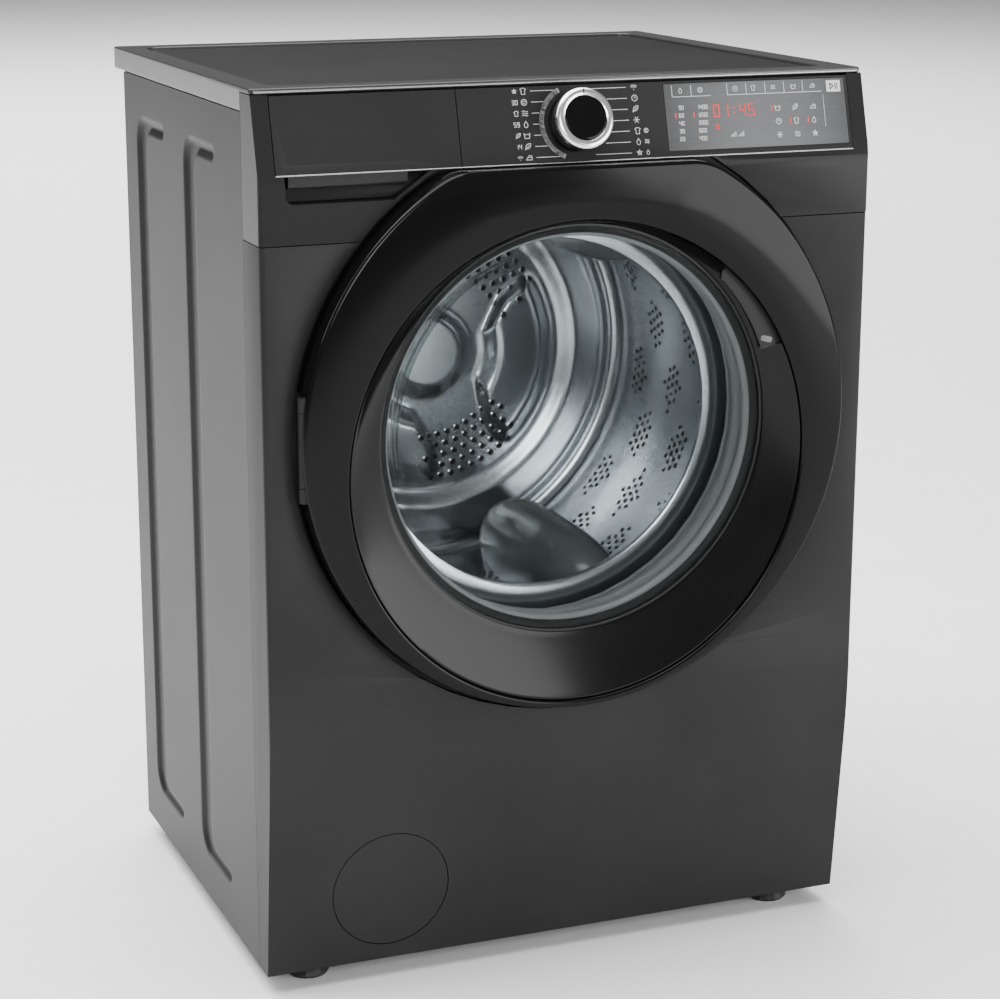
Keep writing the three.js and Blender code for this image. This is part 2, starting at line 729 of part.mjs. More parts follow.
function handRecess(made) {
  const back = FRONT + RECESS_DEPTH;
  const box = prism(recessOutline(2.5), "Y", FRONT + 4, back + 2.5);
  const limit = block([-SIDE, SIDE], [FRONT, BACK], [SEAM_Z, FASCIA_Z - GAP]);
  const clear = doorPrism(GROOVE + 3.2, FRONT - 30, RECESS_Y);
  const pocket = cut(prism(recessOutline(0), "Y", FRONT - 20, back), clear);
  return cut(join(made, cut(box.intersect(limit), clear)), pocket);
}

// ---------------------------------------------------------------- controls

// A plate lying in the leaning plane between two places across the machine.
function leaningPlate([x0, x1], [t0, t1], [d0, d1]) {
  const profile = [lean(t0, d0), lean(t1, d0), lean(t1, d1), lean(t0, d1)];
  return prism(profile, "X", x0, x1);
}

const DRAWER_X0 = () => -SIDE + CAP_WIDTH + GAP * 2;
const DRAWER_X1 = () => DRAWER_X0() + DRAWER_WIDTH;
const FASCIA_X1 = () => SIDE - CAP_WIDTH - GAP;
const DISPLAY_X1 = () => FASCIA_X1() - DISPLAY_INSET;
const PLATE = [0.012, 0.975];

// The knob's axis as a place and a turn.
function onKnobAxis(made) {
  const at = lean(0.5, 0);
  return made.rotate([-(LEAN_ANGLE * 180) / Math.PI, 0, 0]).translate([KNOB_X, at.x, at.y]);
}

const knobRod = (radius, from, to, segments = MEDIUM) =>
  onKnobAxis(rod(radius, "Y", [from, to], [0, 0, 0], segments));

function fascia() {
  const plate = leaningPlate([DRAWER_X1() + GAP * 2, FASCIA_X1()], PLATE, [0, WALL]);
  const window = leaningPlate(
    [DISPLAY_X1() - DISPLAY_WIDTH, DISPLAY_X1()],
    [0.07, 0.95],
    [-1, DISPLAY_THICK + GAP],
  );
  return cut(plate, window, knobRod(KNOB_SHAFT_R + RUNNING, -5, 20));
}

function displayWindow() {
  const inset = GAP;
  return leaningPlate(
    [DISPLAY_X1() - DISPLAY_WIDTH + inset, DISPLAY_X1() - inset],
    [0.08, 0.94],
    [0, DISPLAY_THICK],
  );
}

// Knob body: a skirt, a tapering grip and the shaft that reaches the control board.
function knob() {
  const profile = [
    [0, -KNOB_DEPTH],
    [KNOB_R - 1, -KNOB_DEPTH],
    [KNOB_R, -KNOB_DEPTH + 1.5],
    [KNOB_R, -RUNNING],
    [KNOB_SHAFT_R, -RUNNING],
    [KNOB_SHAFT_R, 11],
    [0, 11],
  ];
  const length = [-KNOB_DEPTH + RING_DEPTH + GAP, -RUNNING];
  const skirt = tube(KNOB_RING_R - 1, KNOB_R - 2, "Y", length, [0, 0, 0], MEDIUM);
  return onKnobAxis(join(turned(profile, "Y", [0, 0, 0], MEDIUM), skirt));
}

function knobRing() {
  const inner = KNOB_R + GAP;
  const profile = [
    [inner, -KNOB_DEPTH + RING_DEPTH],
    [KNOB_RING_R, -KNOB_DEPTH + RING_DEPTH],
    [KNOB_RING_R, -KNOB_DEPTH + 4],
    [KNOB_RING_R - 2, -KNOB_DEPTH + 2],
    [inner + 0.5, -KNOB_DEPTH + 0.5],
    [inner, -KNOB_DEPTH + 2],
  ];
  return onKnobAxis(turned(profile, "Y", [0, 0, 0], MEDIUM));
}

function drawerFront() {
  const x0 = DRAWER_X0();
  const x1 = DRAWER_X1();
  const plate = leaningPlate([x0, x1], PLATE, [0, WALL]);
  const low = lean(PLATE[0], WALL - 1);
  const grip0 = RECESS_X0() + 4;
  const grip = roundedRect([low.x - 1, low.x + 8], [low.y - GRIP_DROP, low.y + 6], 3, 3);
  const web = block([grip0, grip0 + GRIP_WIDTH], [low.x, low.x + 8], [low.y, low.y + 8]);
  return join(plate, prism(grip, "X", grip0, grip0 + GRIP_WIDTH), web);
}

const TRAY_Z = () => FASCIA_Z + 10;
const TRAY_TOP = () => SKIRT_Z - 6;
const TRAY_Y0 = () => FRONT + LEAN_HIGH + 3;
const TRAY_X = () => [DRAWER_X0() + 12, DRAWER_X1() - 12];

// Three compartments side by side, open at the top.
function detergentTray() {
  const [x0, x1] = TRAY_X();
  const y0 = TRAY_Y0();
  const made = block([x0, x1], [y0, y0 + TRAY_DEPTH], [TRAY_Z(), TRAY_TOP() - 4]);
  const rooms = trayRooms().map(([a, b]) =>
    block([a, b], [y0 + TRAY_WALL, y0 + TRAY_DEPTH - TRAY_WALL], [TRAY_Z() + TRAY_WALL, HEIGHT]),
  );
  return cut(made, ...rooms);
}

function trayRooms() {
  const [x0, x1] = TRAY_X();
  const shares = [0, 0.34, 0.62, 1];
  const at = (share) => x0 + TRAY_WALL / 2 + (x1 - x0 - TRAY_WALL) * share;
  return [0, 1, 2].map((i) => [at(shares[i]) + TRAY_WALL / 2, at(shares[i + 1]) - TRAY_WALL / 2]);
}

function drawerHousing() {
  const [x0, x1] = TRAY_X();
  const y0 = TRAY_Y0();
  const out = RUNNING + TRAY_WALL;
  const shell = block(
    [x0 - out, x1 + out],
    [y0 + 2, y0 + TRAY_DEPTH + 10],
    [TRAY_Z() - out, TRAY_TOP() + TRAY_WALL],
  );
  const hollow = block(
    [x0 - RUNNING, x1 + RUNNING],
    [y0 - 5, y0 + TRAY_DEPTH + 10 - TRAY_WALL],
    [TRAY_Z() - RUNNING, TRAY_TOP()],
  );
  const spout = tube(16, 13, "Z", [TRAY_Z() - 34, TRAY_Z() - out + 1], spoutPlace(), COARSE);
  const drain = rod(13, "Z", [TRAY_Z() - 40, TRAY_Z() - 0.5], spoutPlace(), COARSE);
  return cut(join(cut(shell, hollow), spout), drain);
}

const spoutPlace = () => [TRAY_X()[0] + 30, TRAY_Y0() + TRAY_DEPTH - 30, 0];

function controlBoard() {
  const y0 = FRONT + LEAN_HIGH + 6;
  const x0 = DRAWER_X1() + 16;
  const box = block([x0, FASCIA_X1() - 8], [y0, y0 + 26], [FASCIA_Z + 6, SKIRT_Z - 6]);
  return cut(box, knobRod(KNOB_SHAFT_R + RUNNING, -5, 40));
}

// ---------------------------------------------------------------- door

// The black front frame: a drafted rim, a flat face and the edge of the dished part.
function doorRing() {
  const outer = doorOutline(0);
  const bowl = (grow) => circleLike(outer, BOWL_R + grow, BOWL_Z);
  const back = DOOR_FACE + DOOR_PROUD + 3;
  const made = loftedRing([
    { y: back, points: doorOutline(DOOR_DRAFT) },
    { y: DOOR_FACE + 5, points: doorOutline(1) },
    { y: DOOR_FACE + 2, points: doorOutline(0) },
    { y: DOOR_FACE, points: doorOutline(-2) },
    { y: DOOR_FACE, points: bowl(1.5) },
    { y: DOOR_FACE + 2, points: bowl(0) },
    { y: DOOR_FACE + DOOR_WALL + 2, points: bowl(0) },
    { y: DOOR_FACE + DOOR_WALL, points: bowl(3) },
    { y: DOOR_FACE + DOOR_WALL, points: doorOutline(-DOOR_WALL - 2) },
    { y: DOOR_FACE + DOOR_WALL + 3, points: doorOutline(-DOOR_WALL) },
    { y: back, points: doorOutline(DOOR_DRAFT - DOOR_WALL) },
  ]);
  return cut(made, hingeNotch(0));
}

// Room for the hinge in the door's hollow side, behind its front skin.
function hingeNotch(grow) {
  const half = HINGE_HEIGHT / 2 + 3 + grow;
  return block(
    [-DOOR_R - 20, HINGE_X + KNUCKLE_R + 26],
    [DOOR_FACE + DOOR_WALL - 0.2, FRONT + 20],
    [DOOR_Z - half, DOOR_Z + half],
  );
}

// Circle points for the dished part, which share their angles.
const circle = (radius, z, count = FINE) => arc([0, z], radius, 0, 360 - 360 / count, count - 1);

// The dished part between the frame's inner edge and the glass.
function doorDish() {
  const edge = BOWL_R - 2 * GAP;
  const glass = GLASS_R + 3;
  const y0 = DOOR_FACE + 2.5;
  const y1 = DOOR_FACE + DISH_DEPTH;
  const blend = (t, grow) =>
    circle(edge + (glass - edge) * t + grow, BOWL_Z + (AXIS_Z - BOWL_Z) * t);
  const made = loftedRing([
    { y: y0, points: blend(0, 0) },
    { y: y0, points: blend(0, -1.2) },
    { y: y0 + (y1 - y0) * 0.5, points: blend(0.4, -0.6) },
    { y: y0 + (y1 - y0) * 0.85, points: blend(0.8, 0) },
    { y: y1, points: blend(1, 0) },
    { y: y1 + 3, points: blend(1, 0) },
    { y: y0 + (y1 - y0) * 0.85 + 3.4, points: blend(0.8, 1) },
    { y: y0 + (y1 - y0) * 0.5 + 3.6, points: blend(0.4, 1.4) },
    { y: y0 + 4, points: blend(0, 0) },
  ]);
  return cut(made, gripShape(0, DOOR_FACE - 5, DOOR_FACE + 40));
}

// The hand slot's outline: between the dish's outer edge and the glass rim.
function gripShape(grow, from, to) {
  const outer = arc([0, BOWL_Z], BOWL_R + 2 + grow, GRIP_FROM - grow / 4, GRIP_TO + grow / 4, 10);
  const inner = arc([0, AXIS_Z], GLASS_R + 5.5 - grow, GRIP_TO - 7 + grow / 4, GRIP_FROM - 6 - grow / 4, 10);
  return prism(outlineOf([...outer, ...inner]), "Y", from, to);
}

// The door's rear shell: carries the glass, and forms the pocket behind the hand slot.
function doorBack() {
  const y0 = DOOR_FACE + DISH_DEPTH + 3 + GAP;
  const y1 = RECESS_Y - 2;
  const rim = doorOutline(DOOR_DRAFT - DOOR_WALL - 1.2);
  const seat = (radius) => circleLike(rim, radius, AXIS_Z);
  const made = loftedRing([
    { y: y0, points: rim },
    { y: y0, points: seat(GLASS_R + 1) },
    { y: y1, points: seat(GLASS_R + 1) },
    { y: y1, points: seat(GLASS_R + 6) },
    { y: y1 - 1, points: doorOutline(-12) },
    { y: y0 + 3, points: rim },
  ]);
  return cut(
    made,
    hingeNotch(1),
    gripShape(0, y0 - 5, y1 - 2.5),
    block([LATCH_X - 12, LATCH_X + 12], [y0 - 10, y1 + 5], [DOOR_Z - 10, DOOR_Z + 10]),
  );
}

// The bowl glass: a rim, a tapering wall and a domed bottom that keeps the wash in the drum.
function glassProfile() {
  const y0 = GLASS_Y;
  return [
    [GLASS_R, y0],
    [GLASS_R - 12, y0 + 1],
    [GLASS_R - 20, y0 + 8],
    [GLASS_R - 30, y0 + GLASS_DEPTH * 0.45],
    [GLASS_R - GLASS_TAPER + 4, y0 + GLASS_DEPTH * 0.78],
    [GLASS_R - GLASS_TAPER - 14, y0 + GLASS_DEPTH * 0.93],
    [(GLASS_R - GLASS_TAPER) * 0.6, y0 + GLASS_DEPTH * 0.985],
  ];
}

function doorGlass() {
  const line = glassProfile();
  const outside = line.map(([r, y]) => [r, y + GLASS_THICK]);
  outside[2] = [line[2][0] + 2, line[2][1] + 3];
  outside[3] = [line[3][0] + GLASS_THICK, line[3][1] + 1];
  outside[4] = [line[4][0] + GLASS_THICK, line[4][1] + 2];
  const inner = [...line, [0, GLASS_Y + GLASS_DEPTH]];
  const outer = [...outside, [0, GLASS_Y + GLASS_DEPTH + GLASS_THICK]];
  return turned([...inner, ...outer.reverse()], "Y", [0, 0, AXIS_Z], FINE);
}

const hingeZ = (from, to) => [DOOR_Z + from, DOOR_Z + to];

// Knuckles on the door above and below the cabinet's knuckle, on one plate.
function hingeLeaf() {
  const half = HINGE_HEIGHT / 2;
  const middle = HINGE_MIDDLE / 2 + RUNNING;
  const at = [HINGE_X, HINGE_Y, 0];
  const reach = HINGE_X + KNUCKLE_R + 24;
  const upper = rod(KNUCKLE_R, "Z", hingeZ(middle, half), at);
  const lower = rod(KNUCKLE_R, "Z", hingeZ(-half, -middle), at);
  const y = [HINGE_Y - 2, HINGE_Y + 1.5];
  const arms = [
    block([HINGE_X, reach], y, hingeZ(middle, half)),
    block([HINGE_X, reach], y, hingeZ(-half, -middle)),
    block([HINGE_X + KNUCKLE_R + 4, reach], y, hingeZ(-half, half)),
  ];
  const bore = rod(PIN_R + 0.1, "Z", hingeZ(-half - 1, half + 1), at);
  return cut(join(upper, ...arms).add(lower), bore);
}

// The cabinet's knuckle, with its arm and foot plate on the well's floor.
function hingeBracket() {
  const half = HINGE_MIDDLE / 2;
  const at = [HINGE_X, HINGE_Y, 0];
  const knuckle = rod(KNUCKLE_R, "Z", hingeZ(-half, half), at);
  const arm = block([HINGE_X, HINGE_X + 4.5], [HINGE_Y, RECESS_Y - GAP], hingeZ(-half, half));
  const plate = block([HINGE_X, HINGE_X + 24], [RECESS_Y - GAP - 2, RECESS_Y - GAP], hingeZ(-half, half));
  const bore = rod(PIN_R + 0.1, "Z", hingeZ(-half - 1, half + 1), at);
  return cut(join(knuckle, arm, plate), bore);
}

function hingePin() {
  const half = HINGE_HEIGHT / 2;
  return rod(PIN_R, "Z", hingeZ(-half, half), [HINGE_X, HINGE_Y, 0]);
}

// A sprung hook that pivots in the rear shell and catches in the lock.
function latchHook() {
  const y = RECESS_Y;
  const outline = outlineOf([
    [LATCH_X - 6, y - 8],
    [LATCH_X + 5, y - 8],
    [LATCH_X + 5, y + 14],
    [LATCH_X + 10, y + 14],
    [LATCH_X + 5, y + 24],
    [LATCH_X - 2, y + 24],
    [LATCH_X - 6, y + 12],
  ]);
  const plate = prism(outline, "Z", DOOR_Z - HOOK_HEIGHT / 2, DOOR_Z + HOOK_HEIGHT / 2);
  const pivot = rod(3, "Z", [DOOR_Z - 8, DOOR_Z + 8], [LATCH_X, y - 5, 0], 16);
  return join(plate, pivot);
}

function doorLock() {
  const y0 = RECESS_Y + WALL + GAP;
  const body = block([LATCH_X - 24, LATCH_X + 24], [y0, y0 + 34], [DOOR_Z - 34, DOOR_Z + 46]);
  const slot = block([LATCH_X - 13, LATCH_X + 15], [y0 - 5, y0 + 26], [DOOR_Z - 9, DOOR_Z + 9]);
  return cut(body, slot);
}

// ---------------------------------------------------------------- tub and drum

// The folded rubber seal between the cabinet opening and the tub mouth.
function gasket() {
  const y0 = RECESS_Y + WALL + 1;
  const y1 = TUB_Y0 - TUB_WALL / 2 - 2;
  const lip = GLASS_R - 8;
  const line = [
    [MOUTH_R + 5, y0 + 1.5],
    [MOUTH_R - 4, y0 + 1.5],
    [lip + 2, y0 - 1],
    [lip - 1, y0 + 5],
    [MOUTH_R - 8, y0 + 10],
    [MOUTH_R - 4, y0 + 19],
    [lip + 2, y0 + 24],
    [lip + 3, y0 + 31],
    [MOUTH_R - 12, y1 - 10],
    [MOUTH_R - 12, y1],
  ];
  return turned(band(line, 3), "Y", [0, 0, AXIS_Z], MEDIUM);
}

function tubFront() {
  const mouth = MOUTH_R - 12;
  const line = [
    [mouth - 2, TUB_Y0],
    [mouth + 12, TUB_Y0],
    [mouth + 16, TUB_Y0 + 2],
    [TUB_R - 22, TUB_Y0 + 5],
    [TUB_R - 6, TUB_Y0 + 10],
    [TUB_R - TUB_WALL / 2, TUB_Y0 + 26],
    [TUB_R - TUB_WALL / 2, TUB_SEAM - GAP],
  ];
  return turned(band(line, TUB_WALL), "Y", [0, 0, AXIS_Z], FINE);
}

function tubRear() {
  const wall = TUB_Y1 - TUB_WALL / 2;
  const line = [
    [TUB_R - TUB_WALL / 2, TUB_SEAM + GAP],
    [TUB_R - TUB_WALL / 2, TUB_Y1 - 24],
    [TUB_R - 10, wall - 5],
    [TUB_R - 26, wall],
    [BEARING_R + 6, wall],
  ];
  const shell = turned(band(line, TUB_WALL), "Y", [0, 0, AXIS_Z], FINE);
  const hub = tube(
    BEARING_R + 9,
    BEARING_R + GAP,
    "Y",
    [TUB_Y1 - TUB_WALL - 4, TUB_Y1 + 11],
    [0, 0, AXIS_Z],
    MEDIUM,
  );
  const sump = tube(24, 20, "Z", [sumpTop() - 30, sumpTop() + 8], sumpPlace(), COARSE);
  const drain = rod(20, "Z", [sumpTop() - 40, sumpTop() + 8.5], sumpPlace(), COARSE);
  const inside = rod(TUB_R - TUB_WALL, "Y", [0, TUB_Y1], [0, 0, AXIS_Z], FINE);
  const lugs = [-1, 1].map((sign) => springLug(sign));
  let made = cut(join(shell, hub, cut(join(sump, ...lugs), inside)), drain);
  for (const x of heaterLegs()) {
    made = cut(made, rod(HEATER_R + GAP, "Y", [TUB_Y1 - 30, TUB_Y1 + 10], [x, 0, heaterZ(x)], 12));
  }
  return made;
}

// An arm that reaches out from the tub to the lower end of a spring.
function springLug(sign) {
  const x = [sign * (LUG_X - 8), sign * (SPRING_X + 8)].sort((a, b) => a - b);
  return block(x, [SPRING_Y() - 9, SPRING_Y() + 9], [lugTop() - 14, lugTop()]);
}

const sumpPlace = () => [-70, TUB_SEAM + 50, 0];
const sumpTop = () => AXIS_Z - Math.sqrt((TUB_R - TUB_WALL) ** 2 - 70 ** 2);

// The steel drum, open at the front.
function drum() {
  const r = DRUM_R - DRUM_WALL / 2;
  const mouth = MOUTH_DRUM_R;
  const line = [
    [mouth + 4, DRUM_Y0 + 10],
    [mouth, DRUM_Y0 + 6],
    [mouth + 4, DRUM_Y0 + 1],
    [r - 34, DRUM_Y0 + 3],
    [r - 10, DRUM_Y0 + 10],
    [r, DRUM_Y0 + 26],
    [r, DRUM_Y1 - 14],
    [r - 5, DRUM_Y1 - 4],
    [r - 18, DRUM_Y1 - 1],
    [r - 70, DRUM_Y1 - 1],
    [r - 92, DRUM_Y1 - 12],
    [44, DRUM_Y1 - 12],
    [34, DRUM_Y1 - 1],
    [SHAFT_R + 1.5, DRUM_Y1 - 1],
  ];
  return turned(band(line, DRUM_WALL), "Y", [0, 0, AXIS_Z], FINE);
}

const lifterAngle = (i) => LIFTER_TURN + (360 / LIFTERS) * i;

// A hollow-looking paddle that lies along the drum's wall.
function lifter(i) {
  const base = DRUM_R - DRUM_WALL - GAP - 0.6;
  const length = [DRUM_Y0 + 40, DRUM_Y1 - 22];
  const half = LIFTER_WIDTH / 2;
  const section = outlineOf([
    [base + 5, -half],
    [base + 5, half],
    [base - 10, half * 0.82],
    [base - LIFTER_HEIGHT + 6, half * 0.34],
    [base - LIFTER_HEIGHT, half * 0.16],
    [base - LIFTER_HEIGHT, -half * 0.16],
    [base - LIFTER_HEIGHT + 6, -half * 0.34],
    [base - 10, -half * 0.82],
  ]);
  const nose = outlineOf([
    [length[0], base + 10],
    [length[0], base - 8],
    [length[0] + 60, base - LIFTER_HEIGHT - 1],
    [length[1] - 40, base - LIFTER_HEIGHT - 1],
    [length[1], base - 8],
    [length[1], base + 10],
  ]);
  const bar = prism(section, "Y", ...length);
  const taper = prism(nose, "X", -half - 5, half + 5).rotate([0, 90, 0]);
  const trimmed = bar.intersect(taper).intersect(rod(base, "Y", length, [0, 0, 0], FINE));
  return trimmed.rotate([0, -lifterAngle(i), 0]).translate([0, 0, AXIS_Z]);
}

// Three cast arms and the shaft that carries the drum.
function drumSpider() {
  const y0 = DRUM_Y1 + 1 + GAP;
  const y1 = TUB_Y1 - TUB_WALL - 6;
  let made = rod(30, "Y", [y0, y1], [0, 0, 0], COARSE);
  for (let i = 0; i < LIFTERS; i += 1) {
    const length = DRUM_R - 14;
    const arm = outlineOf([
      [10, -SPIDER_ARM / 2],
      [length, -SPIDER_ARM / 3],
      [length, SPIDER_ARM / 3],
      [10, SPIDER_ARM / 2],
    ]);
    made = join(made, prism(arm, "Y", y0, y0 + 11).rotate([0, -lifterAngle(i), 0]));
  }
  made = join(made, rod(SHAFT_R, "Y", [DRUM_Y1 - 12, PULLEY_Y + PULLEY_WIDTH + 3], [0, 0, 0], COARSE));
  return made.translate([0, 0, AXIS_Z]);
}

function bearing() {
  const y = [TUB_Y1 - TUB_WALL - 3, TUB_Y1 + 10];
  return tube(BEARING_R, SHAFT_R + 0.3, "Y", y, [0, 0, AXIS_Z], MEDIUM);
}

// A spoked wheel with a flat rim for the belt.
function pulley() {
  const y = [PULLEY_Y, PULLEY_Y + PULLEY_WIDTH];
  const at = [0, 0, 0];
  const web = [PULLEY_Y + 3, PULLEY_Y + PULLEY_WIDTH - 4];
  let made = join(
    tube(PULLEY_R, PULLEY_R - 7, "Y", y, at, MEDIUM),
    tube(28, SHAFT_R + GAP, "Y", y, at, COARSE),
  );
  for (let i = 0; i < 5; i += 1) {
    const spoke = block([24, PULLEY_R - 5], web, [-9, 9]);
    made = join(made, spoke.rotate([0, 72 * i, 0]));
  }
  return made.translate([0, 0, AXIS_Z]);
}

// Straight runs between two wheels, with arcs around them.
function beltLine(grow) {
  const dx = MOTOR_X;
  const dz = MOTOR_Z - AXIS_Z;
  const apart = Math.hypot(dx, dz);
  const heading = (Math.atan2(dz, dx) * 180) / Math.PI;
  const spread = (Math.acos((PULLEY_R - MOTOR_PULLEY_R) / apart) * 180) / Math.PI;
  return outlineOf([
    ...arc([0, AXIS_Z], PULLEY_R + grow, heading + spread, heading + 360 - spread, 30),
    ...arc([MOTOR_X, MOTOR_Z], MOTOR_PULLEY_R + grow, heading - spread, heading + spread, 8),
  ]);
}

function driveBelt() {
  const y = [PULLEY_Y + 1, PULLEY_Y + PULLEY_WIDTH - 1];
  return cut(
    prism(beltLine(GAP + BELT_THICK), "Y", ...y),
    prism(beltLine(GAP), "Y", y[0] - 1, y[1] + 1),
  );
}

function motor() {
  const y1 = PULLEY_Y - 12;
  const y0 = y1 - 120;
  const centre = [MOTOR_X, 0, MOTOR_Z];
  const body = turned(
    [
      [0, y0],
      [22, y0],
      [MOTOR_R - 8, y0 + 12],
      [MOTOR_R, y0 + 22],
      [MOTOR_R, y1 - 14],
      [26, y1],
      [0, y1],
    ],
    "Y",
    centre,
    MEDIUM,
  );
  const up = Math.atan2(AXIS_Z - MOTOR_Z, -MOTOR_X);
  const reach = TUB_R + 0.5;
  const apart = Math.hypot(AXIS_Z - MOTOR_Z, MOTOR_X);
  const lug = block([MOTOR_R - 20, apart - reach], [y0 + 30, y1 - 30], [-16, 16]);
  const mounted = lug.rotate([0, (-up * 180) / Math.PI, 0]).translate([MOTOR_X, 0, MOTOR_Z]);
  return cut(join(body, mounted), rod(9, "Y", [y1 - 40, y1 + 5], centre));
}

function motorPulley() {
  const y1 = PULLEY_Y + PULLEY_WIDTH;
  const centre = [MOTOR_X, 0, MOTOR_Z];
  return join(
    rod(7, "Y", [PULLEY_Y - 12 - 38, y1], centre),
    rod(MOTOR_PULLEY_R, "Y", [PULLEY_Y, y1], centre),
  );
}

// ---------------------------------------------------------------- suspension and weights

class Helix extends THREE.Curve {
  constructor(radius, low, high, turns, x, y) {
    super();
    Object.assign(this, { radius, low, high, turns, x, y });
  }

  getPoint(t, target = new THREE.Vector3()) {
    const angle = 2 * Math.PI * this.turns * t;
    return target.set(
      this.x + this.radius * Math.cos(angle),
      this.y + this.radius * Math.sin(angle),
      this.low + (this.high - this.low) * t,
    );
  }
}

const SPRING_Y = () => TRAY_Y0() + TRAY_DEPTH + SPRING_BEHIND;
const DAMPER_Y = () => TUB_SEAM + 10;
const lugTop = () => AXIS_Z + Math.sqrt(TUB_R ** 2 - LUG_X ** 2) + 12;

function spring(sign) {
  const path = new Helix(
    SPRING_R,
    lugTop() + SPRING_WIRE + GAP,
    SPRING_TOP - SPRING_WIRE - GAP,
    SPRING_TURNS,
    sign * SPRING_X,
    SPRING_Y(),
  );
  return sweptTube(SPRING_WIRE, path, 5, SPRING_TURNS * 9);
}

const damperLow = () => BASE_TOP + 14;
const damperHigh = () => AXIS_Z - Math.sqrt(TUB_R ** 2 - (DAMPER_X - DAMPER_TILT) ** 2) - 11.5;

// A piece drawn upright from its lower end, then leaned towards the middle.
function leanDamper(sign, made) {
  const rise = damperHigh() - damperLow();
  const angle = (Math.atan2(-sign * DAMPER_TILT, rise) * 180) / Math.PI;
  return made.rotate([0, angle, 0]).translate([sign * DAMPER_X, DAMPER_Y(), damperLow()]);
}

const damperLength = () => Math.hypot(damperHigh() - damperLow(), DAMPER_TILT);

function damperCylinder(sign) {
  const length = damperLength() * 0.58;
  const shell = cut(
    rod(DAMPER_R, "Z", [0, length], [0, 0, 0], COARSE),
    rod(DAMPER_R - 2.5, "Z", [8, length + 1], [0, 0, 0], COARSE),
  );
  const eye = rod(9, "Y", [-8, 8], [0, 0, -2], 16);
  return leanDamper(sign, join(shell, eye));
}

function damperRod(sign) {
  const length = damperLength();
  const shaft = rod(5, "Z", [length * 0.3, length], [0, 0, 0], 16);
  const eye = rod(8, "Y", [-8, 8], [0, 0, length], 16);
  return leanDamper(sign, join(shaft, eye));
}

// Concrete blocks shaped to the tub.
function topWeight() {
  const y0 = TUB_Y0 + 120;
  const high = Math.min(AXIS_Z + TUB_R + 30, SKIRT_Z - 2 * TRAVEL);
  const blockOut = roundedRect([-100, 160], [AXIS_Z + TUB_R - 70, high], 10);
  return cut(
    prism(blockOut, "Y", y0, y0 + 150),
    rod(TUB_R + GAP, "Y", [y0 - 5, y0 + 160], [0, 0, AXIS_Z], FINE),
  );
}

// A weight that hangs round the lower half of the tub's mouth.
function frontWeight() {
  const y1 = TUB_Y0 - 1;
  const inner = MOUTH_R + 12;
  const outline = outlineOf([
    ...arc([0, AXIS_Z], TUB_R - 10, 200, 340, 20),
    ...arc([0, AXIS_Z], inner, 340, 200, 20),
  ]);
  return prism(outline, "Y", y1 - 26, y1);
}

const heaterLegs = () => [-26, 26];
const heaterZ = (x) => AXIS_Z - Math.sqrt((TUB_R - TUB_WALL - DRUM_GAP / 2) ** 2 - x ** 2);

// A hairpin element in the gap under the drum, with its flange behind the tub.
function heater() {
  const [xa, xb] = heaterLegs();
  const z = heaterZ(xa);
  const y0 = TUB_SEAM + 40;
  const y1 = TUB_Y1 + 5;
  const path = new THREE.CurvePath();
  path.add(new THREE.LineCurve3(new THREE.Vector3(xa, y1, z), new THREE.Vector3(xa, y0, z)));
  path.add(
    new THREE.CubicBezierCurve3(
      new THREE.Vector3(xa, y0, z),
      new THREE.Vector3(xa, y0 - 30, z - 3),
      new THREE.Vector3(xb, y0 - 30, z - 3),
      new THREE.Vector3(xb, y0, z),
    ),
  );
  path.add(new THREE.LineCurve3(new THREE.Vector3(xb, y0, z), new THREE.Vector3(xb, y1, z)));
  const element = sweptTube(HEATER_R, path, 8, 26);
  const flange = block([xa - 14, xb + 14], [TUB_Y1 + GAP, TUB_Y1 + 4], [z - 12, z + 10]);
  return join(element, flange);
}

// ---------------------------------------------------------------- water

function pump() {
  const y0 = FRONT + 58;
  const profile = [
    [0, y0 + 26],
    [CAP_R - 6, y0 + 26],
    [CAP_R - 6, y0],
    [PUMP_R, y0],
    [PUMP_R, y0 + PUMP_LENGTH * 0.5],
    [PUMP_R - 9, y0 + PUMP_LENGTH * 0.55],
    [PUMP_R - 9, y0 + PUMP_LENGTH],
    [0, y0 + PUMP_LENGTH],
  ];
  const body = turned(profile, "Y", [FILTER_X, 0, FILTER_Z], COARSE);
  const inlet = tube(17, 13, "Z", [FILTER_Z + PUMP_R - 8, FILTER_Z + PUMP_R + 22], [FILTER_X, y0 + 44, 0]);
  const stand = block(
    [FILTER_X - 14, FILTER_X + 14],
    [y0 + 12, y0 + 44],
    [BASE_TOP + GAP, FILTER_Z - PUMP_R + 6],
  );
  return join(body, inlet, stand);
}

// The screw-in filter plug with its finger bar.
function filterCap() {
  const y0 = FRONT + 40;
  const disc = turned(
    [
      [0, y0 + 6],
      [CAP_R - 2, y0 + 6],
      [CAP_R, y0 + 8],
      [CAP_R, y0 + 17],
      [CAP_R - 8, y0 + 17],
      [CAP_R - 8, y0 + 40],
      [0, y0 + 40],
    ],
    "Y",
    [FILTER_X, 0, FILTER_Z],
    COARSE,
  );
  const half = CAP_R - 5;
  const bar = block(
    [FILTER_X - half, FILTER_X + half],
    [y0 - 6, y0 + 7],
    [FILTER_Z - 4, FILTER_Z + 4],
  );
  return join(disc, bar);
}

